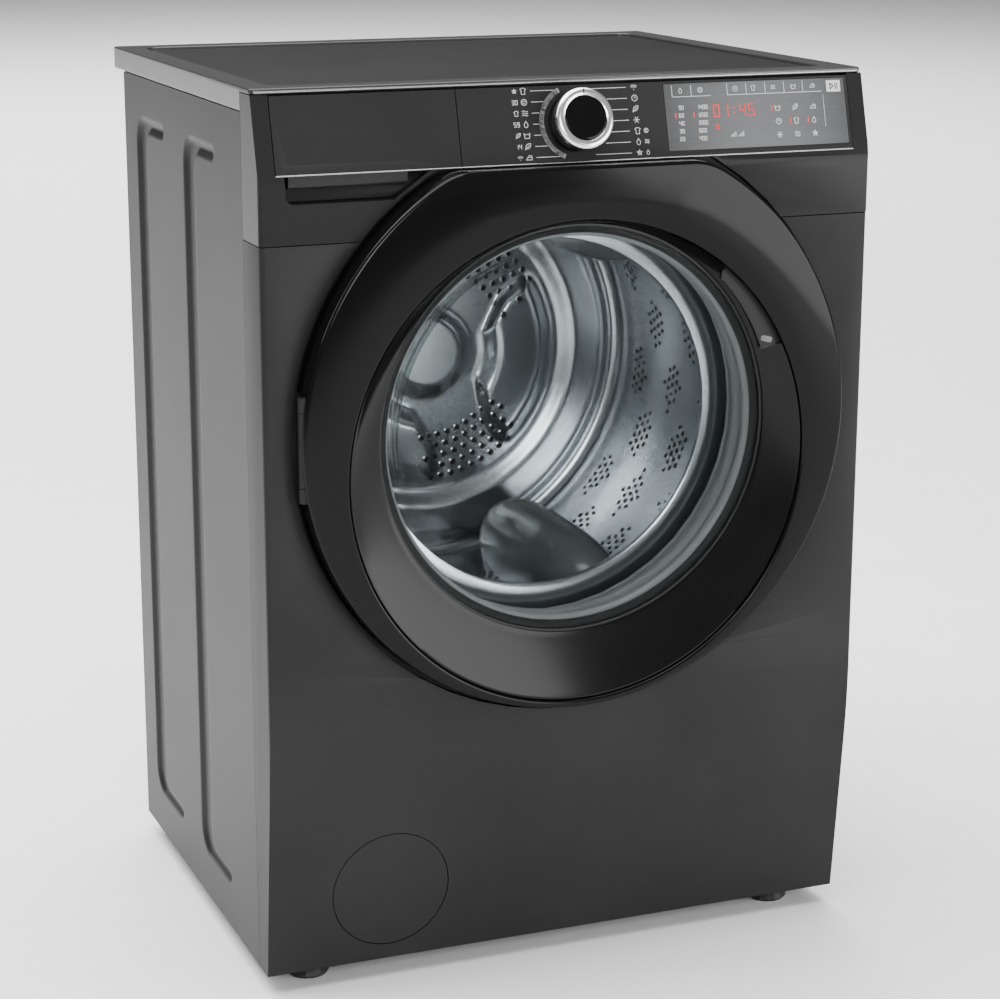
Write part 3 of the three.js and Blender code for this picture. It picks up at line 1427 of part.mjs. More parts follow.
// A shallow cup behind the round cover, so that drips run out forwards.
function filterSurround() {
  const y = FRONT + 30;
  const profile = [
    [CAP_R + 2, y + 20],
    [CAP_R + 2, y + 16],
    [FILTER_COVER_R - 2, y + 12],
    [FILTER_COVER_R - 2, y],
    [FILTER_COVER_R + 2, y],
    [FILTER_COVER_R + 2, y + 15],
    [CAP_R + 6, y + 20],
  ];
  return cut(
    turned(profile, "Y", [FILTER_X, 0, FILTER_Z], MEDIUM),
    block([-SIDE, 0], [FRONT, BACK], [0, BASE_TOP + 12]),
  );
}

// The hose from the tub's sump to the pump.
function sumpHose() {
  const [sx, sy] = sumpPlace();
  const top = sumpTop() - 30 - GAP;
  const px = FILTER_X;
  const py = FRONT + 58 + 44;
  const low = FILTER_Z + PUMP_R + 22 + GAP;
  const path = new THREE.CubicBezierCurve3(
    new THREE.Vector3(px, py, low),
    new THREE.Vector3(px, py, low + 50),
    new THREE.Vector3(sx, sy, top - 60),
    new THREE.Vector3(sx, sy, top),
  );
  const outer = sweptTube(18, path, 12, 16);
  return outer;
}

// Threaded water inlet that stands through the back panel.
function inletValve() {
  const body = block(
    [VALVE_X - 22, VALVE_X + 22],
    [BACK - SHEET - 46, BACK - SHEET - GAP],
    [VALVE_Z - 22, VALVE_Z + 22],
  );
  const spigot = rod(13, "Y", [BACK - 10, BACK + 20], [VALVE_X, 0, VALVE_Z]);
  const bore = rod(9, "Y", [BACK - 5, BACK + 25], [VALVE_X, 0, VALVE_Z]);
  return cut(join(body, spigot), bore);
}

function drainSpigot() {
  const at = [-VALVE_X, 0, VALVE_Z - 20];
  const flange = rod(22, "Y", [BACK - SHEET - GAP - 3, BACK - SHEET - GAP], at);
  const spigot = rod(14, "Y", [BACK - 30, BACK + 24], at);
  const bore = rod(11, "Y", [BACK - 31, BACK + 25], at);
  return cut(join(flange, spigot), bore);
}

function cordGland() {
  const at = [-VALVE_X, 0, VALVE_Z - 90];
  const flange = rod(12, "Y", [BACK + GAP, BACK + 4], at);
  const body = rod(8, "Y", [BACK - 12, BACK + 12], at);
  const bore = rod(4, "Y", [BACK - 13, BACK + 13], at, 12);
  return cut(join(flange, body), bore);
}

// ---------------------------------------------------------------- assembly

add("worktop_frame", worktopFrame(), "darkPlastic");
add("worktop_panel", worktopPanel(), "graphite");
add("side_panel_left", sidePanel(-1), "graphite");
add("side_panel_right", sidePanel(1), "graphite");
add("back_panel", backPanel(), "zinc");
add("rear_cover", rearCover(), "zinc");
add("base_tray", baseTray(), "black");
const CORNERS = ["front_left", "front_right", "rear_left", "rear_right"];
footPlaces().forEach((place, i) => add("foot_" + CORNERS[i], foot(place), "black"));

add("front_panel", frontPanel(), "graphite");
add("upper_frame", upperFrame(), "graphite");
add("filter_cover", filterCover(), "graphite");
add("fascia", fascia(), "darkPlastic");
add("display_window", displayWindow(), "silver");
add("knob", knob(), "darkPlastic");
add("knob_ring", knobRing(), "chrome");
add("drawer_front", drawerFront(), "darkPlastic");
add("detergent_tray", detergentTray(), "pale");
add("drawer_housing", drawerHousing(), "pale");
add("control_board", controlBoard(), "black");

add("door_ring", doorRing(), "gloss");
add("door_dish", doorDish(), "gloss");
add("door_back", doorBack(), "black");
add("door_glass", doorGlass(), "glass");
add("hinge_leaf", hingeLeaf(), "zinc");
add("hinge_bracket", hingeBracket(), "zinc");
add("hinge_pin", hingePin(), "steel");
add("latch_hook", latchHook(), "zinc");
add("door_lock", doorLock(), "black");

add("door_gasket", gasket(), "rubber");
add("tub_front", tubFront(), "tubPlastic");
add("tub_rear", tubRear(), "tubPlastic");
add("drum", drum(), "steel");
for (let i = 0; i < LIFTERS; i += 1) add("lifter_" + (i + 1), lifter(i), "pale");
add("drum_spider", drumSpider(), "cast");
add("drum_bearing", bearing(), "steel");
add("drum_pulley", pulley(), "cast");
add("drive_belt", driveBelt(), "black");
add("motor", motor(), "zinc");
add("motor_pulley", motorPulley(), "steel");

for (const [side, sign] of [["left", -1], ["right", 1]]) {
  add("spring_" + side, spring(sign), "steel");
  add("damper_cylinder_" + side, damperCylinder(sign), "black");
  add("damper_rod_" + side, damperRod(sign), "steel");
}
add("top_weight", topWeight(), "concrete");
add("front_weight", frontWeight(), "concrete");
add("heater", heater(), "steel");
add("pump", pump(), "pale");
add("filter_cap", filterCap(), "darkPlastic");
add("filter_surround", filterSurround(), "black");
add("sump_hose", sumpHose(), "rubber");
add("inlet_valve", inletValve(), "pale");
add("drain_spigot", drainSpigot(), "black");
add("cord_gland", cordGland(), "black");

export default group;
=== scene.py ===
# %% [markdown]
# # A front load washing machine
# The moving parts, their sizes and their joints come from an exact CAD model. This script loads that
# model as a fixed frame, keeps every node whose shape is already right, and puts a finer piece in
# place of each one that a person looks at closely: the door, the drum, the seal, the controls and
# the stamped panels. Sizes in the script are millimetres until a mesh is made, because a maker
# thinks of a washing machine in millimetres.

# %% Load the exact parts
import json
import math

import bmesh
import bpy
import numpy as np
from mathutils import Matrix, Vector

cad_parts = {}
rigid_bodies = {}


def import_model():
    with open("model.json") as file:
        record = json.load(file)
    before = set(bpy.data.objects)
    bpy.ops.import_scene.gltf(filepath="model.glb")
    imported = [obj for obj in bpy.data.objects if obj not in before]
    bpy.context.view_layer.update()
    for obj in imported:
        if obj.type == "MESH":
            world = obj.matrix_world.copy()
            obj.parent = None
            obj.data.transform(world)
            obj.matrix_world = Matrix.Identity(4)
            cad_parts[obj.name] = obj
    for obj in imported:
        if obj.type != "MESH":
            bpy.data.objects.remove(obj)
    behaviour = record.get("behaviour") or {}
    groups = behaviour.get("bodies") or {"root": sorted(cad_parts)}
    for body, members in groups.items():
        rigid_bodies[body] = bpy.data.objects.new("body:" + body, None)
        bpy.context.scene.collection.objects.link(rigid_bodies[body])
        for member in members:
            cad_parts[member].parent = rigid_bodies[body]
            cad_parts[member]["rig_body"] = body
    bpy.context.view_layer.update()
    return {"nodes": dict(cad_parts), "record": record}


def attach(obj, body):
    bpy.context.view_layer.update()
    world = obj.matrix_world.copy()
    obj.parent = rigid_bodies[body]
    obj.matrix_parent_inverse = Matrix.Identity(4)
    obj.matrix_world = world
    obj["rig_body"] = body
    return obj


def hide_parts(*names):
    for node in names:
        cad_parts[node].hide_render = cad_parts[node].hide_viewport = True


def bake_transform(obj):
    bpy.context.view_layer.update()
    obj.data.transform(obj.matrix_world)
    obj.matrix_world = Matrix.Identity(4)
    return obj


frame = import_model()

# %% [markdown]
# ## Sizes that the pieces share
# The door is a round rim with a flat top. Its dished middle is a second circle, a little lower, and
# the glass is a third. Everything about the door is measured from these three circles.

# %% Shared sizes
MM = 0.001
SIDE = 300.0
HEIGHT = 850.0
FRONT = -250.0
DOOR_Z = 534.5
DOOR_R = 269.0
DOOR_FLAT = 240.0
DOOR_BLEND = 60.0
BOWL_R, BOWL_Z = 227.0, 499.0
AXIS_Z = 527.5
GLASS_R = 190.0
FINE = 160
print("door", DOOR_R, "dished part", BOWL_R, "glass", GLASS_R)

# %% [markdown]
# ## Small tools for making pieces
# A loft joins outlines of equal length one after another. Nearly every piece here is a loft: a ring
# is a loft whose last outline meets the first, and a lid is a loft with its two ends filled.

# %% Outlines and lofts


def arc(cx, cy, radius, start, stop, steps):
    """Points along an arc, with angles in degrees."""
    turn = np.radians(np.linspace(start, stop, steps + 1))
    return np.stack([cx + radius * np.cos(turn), cy + radius * np.sin(turn)], 1)


def rounded_rect(x0, x1, y0, y1, radius, steps=8):
    """A rectangle's outline with rounded corners."""
    corners = [
        (x1 - radius, y0 + radius, -90),
        (x1 - radius, y1 - radius, 0),
        (x0 + radius, y1 - radius, 90),
        (x0 + radius, y0 + radius, 180),
    ]
    return np.vstack([arc(cx, cy, radius, a, a + 90, steps) for cx, cy, a in corners])


def smooth_line(points, steps=6):
    """A flowing line through a few points (Catmull-Rom)."""
    p = np.asarray(points, float)
    p = np.vstack([2 * p[0] - p[1], p, 2 * p[-1] - p[-2]])
    t = np.linspace(0, 1, steps, endpoint=False)[:, None]
    out = []
    for a, b, c, d in zip(p, p[1:], p[2:], p[3:]):
        out.append(
            0.5 * (2 * b + (c - a) * t + (2 * a - 5 * b + 4 * c - d) * t**2 + (3 * b - a - 3 * c + d) * t**3)
        )
    return np.vstack([*out, p[-2:-1]])


def loft_faces(count, across, ring=False, ends=False, first=0):
    """Faces that join count outlines of across points each."""
    faces = []
    for s in range(count if ring else count - 1):
        here, there = first + s * across, first + ((s + 1) % count) * across
        faces += [
            (here + i, here + (i + 1) % across, there + (i + 1) % across, there + i) for i in range(across)
        ]
    if ends:
        faces.append(tuple(first + i for i in reversed(range(across))))
        faces.append(tuple(first + (count - 1) * across + i for i in range(across)))
    return faces


def around(profile, centre=(0.0, AXIS_Z), steps=FINE):
    """Circles for a profile of (radius, depth) turned about the drum's axis."""
    turn = np.linspace(0, 2 * np.pi, steps, endpoint=False)
    return [
        np.stack([centre[0] + r * np.cos(turn), np.full(steps, y), centre[1] + r * np.sin(turn)], 1)
        for r, y in profile
    ]


def standing(outline, y):
    """A flat (x, z) outline placed at one depth."""
    depth = np.broadcast_to(y, len(outline))
    return np.stack([outline[:, 0], depth, outline[:, 1]], 1)


print("a rounded rectangle has", len(rounded_rect(0, 10, 0, 10, 2)), "points")

# %% [markdown]
# ## From points to a finished piece
# A piece sits at the origin with its place in its mesh, so that patterns stay put. Its doubles are
# merged, its faces are turned outwards, and edges sharper than a chosen angle stay crisp while the
# rest shade smoothly.

# %% Finishing a piece


def into_scene(name, data):
    """A new object for some data, linked to the scene."""
    obj = bpy.data.objects.new(name, data)
    bpy.context.scene.collection.objects.link(obj)
    return obj


def piece(name, points, faces, material, body, slot=None, stands_for=(), crisp=34, turn=True):
    """A mesh piece from points in millimetres, riding on a CAD body."""
    mesh = bpy.data.meshes.new(name)
    mesh.from_pydata([tuple(p) for p in np.asarray(points, float) * MM], [], faces)
    work = bmesh.new()
    work.from_mesh(mesh)
    bmesh.ops.remove_doubles(work, verts=work.verts, dist=2e-6)
    if turn:
        bmesh.ops.recalc_face_normals(work, faces=work.faces)
    work.to_mesh(mesh)
    work.free()
    obj = into_scene(name, mesh)
    dress(obj, material, crisp)
    return settle(obj, body, stands_for)


def dress(obj, material, crisp=34):
    """Gives a mesh its one material and its smooth and crisp edges."""
    obj.data.materials.clear()
    obj.data.materials.append(material)
    obj.data.shade_smooth()
    obj.data.set_sharp_from_angle(angle=math.radians(crisp))


def settle(obj, body, stands_for=()):
    """Lets a piece ride and stand for CAD nodes."""
    if body:
        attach(obj, body)
    if stands_for:
        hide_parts(*stands_for)
    return obj


def loft(name, outlines, material, body, ring=False, ends=True, **more):
    """A piece from a list of outlines of equal length."""
    across = len(outlines[0])
    faces = loft_faces(len(outlines), across, ring, ends and not ring)
    return piece(name, np.vstack(outlines), faces, material, body, **more)


def bevelled(obj, width, segments=2, angle=30):
    """Rounds the crisp edges of a piece by a width in millimetres."""
    edge = obj.modifiers.new("rounded edges", "BEVEL")
    edge.width = width * MM
    edge.segments = segments
    edge.limit_method = "ANGLE"
    edge.angle_limit = math.radians(angle)
    edge.harden_normals = True
    return obj


def refined(node, material, width=0.5, crisp=32, rides=True):
    """A merged copy of a CAD node with softened edges, which stands for the node."""
    source = frame["nodes"][node]
    mesh = source.data.copy()
    mesh.name = node + "_finished"
    work = bmesh.new()
    work.from_mesh(mesh)
    bmesh.ops.remove_doubles(work, verts=work.verts, dist=2e-5)
    bmesh.ops.dissolve_limit(
        work, angle_limit=math.radians(0.6), verts=work.verts, edges=work.edges, delimit={"NORMAL"}
    )
    work.to_mesh(mesh)
    work.free()
    obj = into_scene(mesh.name, mesh)
    dress(obj, material, crisp)
    if width:
        bevelled(obj, width)
    return settle(obj, source["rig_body"] if rides else None, [node])


# %% [markdown]
# ## Writing materials as sums
# A material's maths reads best as ordinary sums. This wrapper lets a socket be added, multiplied and
# subtracted, and adds the Math nodes behind the scene. Colours go through Mix nodes instead.

# %% A wrapper for sockets and nodes


class Value:
    """A node's output that can be used in sums."""

    def __init__(self, recipe, socket):
        self.recipe, self.socket = recipe, socket

    def sum(self, operation, *others):
        return self.recipe.node("ShaderNodeMath", {"operation": operation}, *others)

    def __add__(self, other):
        return self.sum("ADD", self, other)

    def __sub__(self, other):
        return self.sum("SUBTRACT", self, other)

    def __rsub__(self, other):
        return self.sum("SUBTRACT", other, self)

    def __mul__(self, other):
        return self.sum("MULTIPLY", self, other)

    def clamp(self, low, high):
        return self.sum("MAXIMUM", self.sum("MINIMUM", self, high), low)

    __radd__ = __add__
    __rmul__ = __mul__


class Recipe:
    """A material being mixed, with one Principled shader."""

    def __init__(self, name, **fixed):
        self.material = bpy.data.materials.new(name)
        self.material.use_nodes = True
        self.tree = self.material.node_tree
        self.shader = self.tree.nodes["Principled BSDF"]
        self.output = self.tree.nodes["Material Output"]
        for key, value in fixed.items():
            self.shader.inputs[key.replace("_", " ")].default_value = value

    def node(self, kind, settings=None, *values, out=0, **named):
        """Adds a node: its settings first, then values or links for its sockets."""
        made = self.tree.nodes.new(kind)
        for key, value in (settings or {}).items():
            setattr(made, key, value)
        for place, value in [*enumerate(values), *named.items()]:
            self.feed(made.inputs[place], value)
        return Value(self, made.outputs[out])

    def feed(self, socket, value):
        if isinstance(value, Value):
            self.tree.links.new(value.socket, socket)
        elif value is not None:
            socket.default_value = value

    def set(self, socket, value):
        self.feed(self.shader.inputs[socket], value)

    def place(self, scale=(1, 1, 1), turn=(0, 0, 0), shift=(0, 0, 0)):
        """The point on the piece, in metres, stretched and turned as asked."""
        where = self.node("ShaderNodeTexCoord", out="Object")
        return self.node("ShaderNodeMapping", None, where, Location=shift, Rotation=turn, Scale=scale)

    def noise(self, size, detail=2.0, rough=0.5, **where):
        return self.node(
            "ShaderNodeTexNoise", None, Vector=self.place(**where), Scale=size, Detail=detail, Roughness=rough
        )

    def blend(self, amount, first, second):
        """Two colours mixed by an amount."""
        made = self.tree.nodes.new("ShaderNodeMix")
        made.data_type = "RGBA"
        self.feed(made.inputs[0], amount)
        self.feed(made.inputs[6], first)
        self.feed(made.inputs[7], second)
        return Value(self, made.outputs[2])

    def bump(self, height, depth_mm, strength=0.5):
        made = self.node("ShaderNodeBump", None, Strength=strength, Distance=depth_mm * MM, Height=height)
        self.set("Normal", made)


def shade(colour, factor):
    return tuple(min(1.0, c * factor) for c in colour[:3]) + (1.0,)


print("the wrapper is ready")

# %% [markdown]
# ## Finishes
# The cabinet is steel with a satin graphite paint: fine metal flake under a thin clear coat, with
# the faint waviness of sprayed paint. Plastics have a fine grain, and wear shows as small changes
# in gloss. One function mixes all the plain finishes from their colour, gloss and grain.

# %% Plain finishes


def finish(
    name, colour, rough, metal=0.0, grain=900, depth=0.03, vary=0.1, wander=0.08, coat=0.0, shine=0.5, **fixed
):
    """A finish with cloudy colour, uneven gloss and a fine grain; shine is its specular level."""
    r = Recipe(name, Metallic=metal, Specular_IOR_Level=shine, **fixed)
    cloud = r.noise(7.0, 3.0)
    fine = r.noise(grain, 2.0)
    amount = (cloud * 0.65 + fine * 0.35 - 0.3) * 2.2
    r.set("Base Color", r.blend(amount.clamp(0, 1), shade(colour, 1 - vary), shade(colour, 1 + vary)))
    r.set("Roughness", (rough + (cloud - 0.5) * wander + (fine - 0.5) * wander * 0.6).clamp(0.02, 1))
    r.shader.inputs["Coat Weight"].default_value = coat
    if depth:
        r.bump(fine, depth, 0.35)
    return r.material


graphite = finish("graphite_paint", (0.0210, 0.0210, 0.0213), 0.46, 0.5, 2600, 0.012, 0.18, 0.06, shine=0.12)
side_paint = finish("side_paint", (0.022, 0.0222, 0.0228), 0.44, 0.4, 2600, 0.014, 0.14, 0.06, shine=0.12)
frame_grey = finish("frame_plastic", (0.016, 0.016, 0.0163), 0.36, 0.45, 1800, 0.012, 0.16, 0.06, shine=0.12)
fascia_black = finish(
    "fascia_plastic", (0.014, 0.0137, 0.0138), 0.30, 0.0, 1400, 0.008, 0.14, 0.05, shine=0.2,
)
top_dark = finish("worktop_plastic", (0.008, 0.008, 0.0082), 0.46, 0.0, 700, 0.03, 0.16, 0.08, shine=0.15)
rim_dark = finish("worktop_edge", (0.045, 0.045, 0.046), 0.22, 0.45, 1500, 0.006, 0.08, 0.05, shine=0.5)
door_black = finish("door_gloss", (0.0028, 0.0027, 0.0026), 0.10, 0.0, 1200, 0.002, 0.15, 0.03, shine=0.13)
dish_black = finish("dish_gloss", (0.0034, 0.0032, 0.0032), 0.15, 0.0, 1200, 0.003, 0.15, 0.04, shine=0.16)
pocket_black = finish("moulded_black", (0.007, 0.007, 0.007), 0.55, 0.0, 1500, 0.03, 0.15, 0.08, shine=0.25)
shell_black = finish("door_shell", (0.016, 0.016, 0.017), 0.45, 0.0, 1300, 0.03, 0.12, 0.08, shine=0.3)
rubber = finish("seal_rubber", (0.20, 0.203, 0.206), 0.45, 0.0, 1600, 0.05, 0.10, 0.10)
dark_rubber = finish("belt_rubber", (0.018, 0.018, 0.018), 0.7, 0.0, 1600, 0.05, 0.15, 0.1)
chrome = finish("satin_chrome", (0.86, 0.86, 0.87), 0.17, 1.0, 1800, 0.004, 0.03, 0.05)
pale = finish("pale_plastic", (0.52, 0.53, 0.52), 0.45, 0.0, 1200, 0.02, 0.05, 0.08)
tub_grey = finish("tub_plastic", (0.30, 0.31, 0.32), 0.6, 0.0, 420, 0.08, 0.10, 0.12)
zinc = finish("zinc_plate", (0.22, 0.225, 0.235), 0.44, 0.8, 120, 0.02, 0.30, 0.22)
cast = finish("cast_aluminium", (0.40, 0.41, 0.42), 0.52, 0.8, 420, 0.12, 0.14, 0.12)
stone_cast = finish("cast_weight", (0.15, 0.15, 0.15), 0.85, 0.1, 160, 0.6, 0.25, 0.12)
steel_rod = finish("bright_steel", (0.58, 0.59, 0.60), 0.24, 1.0, 900, 0.01, 0.06, 0.08)
white_mark = finish("white_marking", (0.55, 0.55, 0.55), 0.5, 0.0, 900, 0.0, 0.05, 0.05)
grey_mark = finish("grey_marking", (0.22, 0.22, 0.23), 0.45, 0.0, 900, 0.0, 0.05, 0.05)
red_mark = finish(
    "red_light",
    (0.50, 0.02, 0.015),
    0.4,
    grain=900,
    depth=0.0,
    vary=0.05,
    wander=0.05,
    Emission_Color=(1, 0.04, 0.02, 1),
    Emission_Strength=0.35,
)
print("plain finishes:", len(bpy.data.materials))

# %% [markdown]
# The drum is brushed stainless steel. The brush marks run round the drum, so the noise is stretched
# along its axis. The display panel is brushed too, but from left to right, and it fades from light
# in the middle to darker at its ends. The bowl is thick clear glass.

# %% Brushed metal and glass


def brushed(name, colour, rough, stretch, depth=0.01, vary=0.12):
    """Bare metal with fine scratches along one direction."""
    r = Recipe(name, Metallic=1.0)
    lines = r.noise(1.0, 3.0, 0.6, scale=stretch)
    cloud = r.noise(6.0, 2.0)
    mixed = (lines * 0.7 + cloud * 0.3 - 0.3) * 2.3
    r.set("Base Color", r.blend(mixed.clamp(0, 1), shade(colour, 1 - vary), shade(colour, 1 + vary)))
    r.set("Roughness", (rough + (lines - 0.5) * 0.14).clamp(0.05, 1))
    r.bump(lines, depth, 0.3)
    return r.material


drum_steel = brushed("drum_steel", (0.56, 0.58, 0.60), 0.24, (500, 30, 500), 0.01, 0.10)


def display_finish():
    """Silver print, lighter in the middle than at its two ends."""
    r = Recipe("display_silver", Metallic=0.35)
    lines = r.noise(1.0, 2.0, 0.6, scale=(25, 1400, 1400))
    where = r.node("ShaderNodeSeparateXYZ", None, r.node("ShaderNodeTexCoord", out="Object"), out="X")
    bell = 1 - ((where - 0.187) * 10.5).clamp(-1, 1) * ((where - 0.187) * 10.5).clamp(-1, 1)
    tone = (bell * 0.7 + lines * 0.5).clamp(0, 1)
    r.set("Base Color", r.blend(tone, (0.030, 0.031, 0.033, 1), (0.115, 0.118, 0.122, 1)))
    r.set("Roughness", (0.34 + (lines - 0.5) * 0.1).clamp(0.1, 1))
    r.shader.inputs["Coat Weight"].default_value = 0.5
    r.shader.inputs["Coat Roughness"].default_value = 0.08
    return r.material


display_silver = display_finish()


def glass_finish(name, tint):
    """Clear glass: it lets light straight through and reflects more at a glancing angle."""
    r = Recipe(name, IOR=1.45, Roughness=0.03, Metallic=0.0)
    r.shader.inputs["Base Color"].default_value = (0.02, 0.02, 0.02, 1)
    streak = r.noise(9.0, 2.0)
    r.set("Roughness", (0.02 + streak * 0.03).clamp(0.01, 0.2))
    clear = r.tree.nodes.new("ShaderNodeBsdfTransparent")
    clear.inputs["Color"].default_value = tint
    edge = r.node("ShaderNodeLayerWeight", None, Blend=0.5, out="Facing")
    mix = r.tree.nodes.new("ShaderNodeMixShader")
    r.feed(mix.inputs[0], (edge * edge * edge * edge * 0.55 + streak * 0.03 + 0.015).clamp(0, 1))
    r.tree.links.new(clear.outputs[0], mix.inputs[1])
    r.tree.links.new(r.shader.outputs[0], mix.inputs[2])
    r.tree.links.new(mix.outputs[0], r.output.inputs["Surface"])
    return r.material


bowl_glass = glass_finish("bowl_glass", (0.86, 0.88, 0.88, 1))
print("finishes:", len(bpy.data.materials))

# %% [markdown]
# ## Camera, floor and light
# The camera stands to the left of the machine, a little above it, with a long lens. A pale floor
# carries on out of view. One large soft light hangs overhead and another stands low at the front
# right. A narrow one at the upper left and a small one near the camera lift the edges and the front.
# The last lights only the floor far behind, and is hidden from reflections.

# %% Camera


def look(name, place, forward, lens, shift):
    """A camera at a place in millimetres, looking along a direction."""
    data = bpy.data.cameras.new(name)
    data.lens, data.sensor_width = lens, 36.0
    data.shift_x, data.shift_y = shift
    data.clip_start, data.clip_end = 0.05, 60.0
    obj = into_scene(name, data)
    obj.location = Vector(place) * MM
    obj.rotation_mode = "QUATERNION"
    obj.rotation_quaternion = Vector(forward).to_track_quat("-Z", "Y")
    return obj


camera = look("camera", (-917.2, -2339.1, 1059.6), (0.3546, 0.9025, -0.2446), 91.07, (0.0212, -0.0235))
bpy.context.scene.camera = camera
print("camera at", [round(v, 2) for v in camera.location])

# %% Floor and lights
floor_mesh = bpy.data.meshes.new("floor")
floor_mesh.from_pydata([(-40, -40, 0), (40, -40, 0), (40, 40, 0), (-40, 40, 0)], [], [(0, 1, 2, 3)])
floor = into_scene("floor", floor_mesh)
floor_mesh.materials.append(finish("studio_floor", (0.80, 0.80, 0.80), 0.75, 0.0, 40, 0.0, 0.02, 0.05))

world = bpy.data.worlds.new("studio")
bpy.context.scene.world = world
world.use_nodes = True
sky = world.node_tree
ramp = sky.nodes.new("ShaderNodeValToRGB")
ramp.color_ramp.elements[0].color, ramp.color_ramp.elements[0].position = (0.55, 0.55, 0.55, 1), 0.25
ramp.color_ramp.elements[1].color, ramp.color_ramp.elements[1].position = (0.16, 0.16, 0.16, 1), 0.75
way, along = sky.nodes.new("ShaderNodeTexCoord"), sky.nodes.new("ShaderNodeSeparateXYZ")
spread = sky.nodes.new("ShaderNodeMapRange")
spread.inputs["From Min"].default_value = -1.0
sky.links.new(way.outputs["Generated"], along.inputs[0])
sky.links.new(along.outputs["Y"], spread.inputs["Value"])
sky.links.new(spread.outputs[0], ramp.inputs[0])
sky.links.new(ramp.outputs[0], sky.nodes["Background"].inputs["Color"])
sky.nodes["Background"].inputs["Strength"].default_value = 0.8


def softbox(name, place, target, width, depth, power):
    """A rectangular light, in metres, aimed at a point."""
    data = bpy.data.lights.new(name, "AREA")
    data.shape, data.size, data.size_y, data.energy = "RECTANGLE", width, depth, power
    obj = into_scene(name, data)
    obj.location = place
    obj.rotation_mode = "QUATERNION"
    obj.rotation_quaternion = (Vector(target) - Vector(place)).to_track_quat("-Z", "Y")
    return obj


softbox("right_low", (2.7, -2.95, 0.85), (0.1, 0, 0.4), 2.8, 1.6, 120)
softbox("overhead", (-0.4, 0.2, 3.3), (-0.3, 0.1, 0), 3.6, 3.6, 330)
softbox("upper_left", (-2.3, 0.2, 2.5), (-0.2, -0.1, 0.6), 0.5, 2.6, 45)
softbox("near_camera", (-0.8, -2.9, 1.45), (0, 0, 0.5), 1.0, 1.0, 42)
far = softbox("far_floor", (0.5, 6.5, 5.0), (0.5, 6.5, 0), 9.0, 6.0, 1500)
far.visible_glossy = False

# %% [markdown]
# ## Finishes for the pieces whose CAD shape is already right
# Inner parts such as the springs, the motor and the pulleys keep their exact shapes. Each gets the
# finish of its material slot.

# %% Dress the CAD nodes
by_slot = {
    "graphite_paint": graphite,
    "graphite_plastic": frame_grey,
    "dark_plastic": top_dark,
    "black_plastic": shell_black,
    "black_gloss": door_black,
    "silver_panel": display_silver,
    "chrome_trim": chrome,
    "pale_plastic": pale,
    "tub_plastic": tub_grey,
    "door_glass": bowl_glass,
    "rubber_seal": rubber,
    "steel": drum_steel,
    "zinc_steel": zinc,
    "cast_aluminium": cast,
    "cast_weight": stone_cast,
}
for part in frame["record"]["subparts"]:
    mesh = frame["nodes"][part["node"]].data
    mesh.materials.clear()
    mesh.materials.append(by_slot[part["material_slot"]])
for node in ("hinge_leaf", "hinge_bracket", "hinge_pin"):
    frame["nodes"][node].data.materials[0] = pocket_black
frame["nodes"]["drive_belt"].data.materials[0] = dark_rubber

# %% [markdown]
# ## The door
# On the real machine the door is a thick black ring with a dished face, and the dish is a separate
# glossy moulding. Both are lofts of one dense outline, so that their gloss flows without facets. The
# outline is the door's own: a circle with a flat top and two blended corners.

# %% The door's outlines


def even(points, count):
    """The same closed outline with its points spread evenly."""
    loop = np.vstack([points, points[:1]])
    step = np.linalg.norm(np.diff(loop, axis=0), axis=1)
    run = np.concatenate([[0], np.cumsum(step)])
    at = np.linspace(0, run[-1], count, endpoint=False)
    return np.stack([np.interp(at, run, loop[:, k]) for k in (0, 1)], 1)


def door_outline(grow, rise=None, count=360):
    """The rim's outline, grown outwards."""
    rise = min(grow, 0) if rise is None else rise
    big, flat, blend = DOOR_R + grow, DOOR_FLAT + rise, DOOR_BLEND + grow
    across = math.sqrt((big - blend) ** 2 - (flat - blend) ** 2)
    meets = math.degrees(math.atan2(flat - blend, across))
    top = DOOR_Z + flat - blend
    return even(
        np.vstack(
            [
                arc(0, DOOR_Z, big, 180 - meets, 360 + meets, 400),
                arc(across, top, blend, meets, 90, 60)[1:],
                arc(-across, top, blend, 90, 180 - meets, 60)[:-1],
            ]
        ),
        count,
    )


def circle_like(outline, radius, z):
    """A circle whose points keep step with another outline."""
    turn = np.arctan2(outline[:, 1] - z, outline[:, 0])
    return np.stack([radius * np.cos(turn), z + radius * np.sin(turn)], 1)


RIM = [(3.5, -247), (1.4, -262), (0.9, -266), (0.1, -268.4), (-1.3, -269.6), (-3.2, -270)]
BOWL_LIP = [
    (2.8, -270), (1.2, -269.7), (0.3, -268.8), (0.0, -267.4), (0.0, -263.5), (1.6, -263.0), (3.2, -266.0),
]
RIM_BACK = [(-6.0, -266.0), (-4.6, -265.0), (-3.6, -262.0), (-0.5, -247.0)]
middle = door_outline(-20)
rings = [standing(door_outline(g, 0 if g > 0 else None), y) for g, y in RIM]
rings += [standing(circle_like(middle, BOWL_R + g, BOWL_Z), y) for g, y in BOWL_LIP]
rings += [standing(door_outline(g), y) for g, y in RIM_BACK]
print("door ring outlines:", len(rings), "of", len(rings[0]), "points")

# %% [markdown]
# The notch for the hinge is cut with a Boolean, because it is the one thing about the ring that isn't
# a loft. The cutter is deleted once the cut is applied.

# %% The door ring


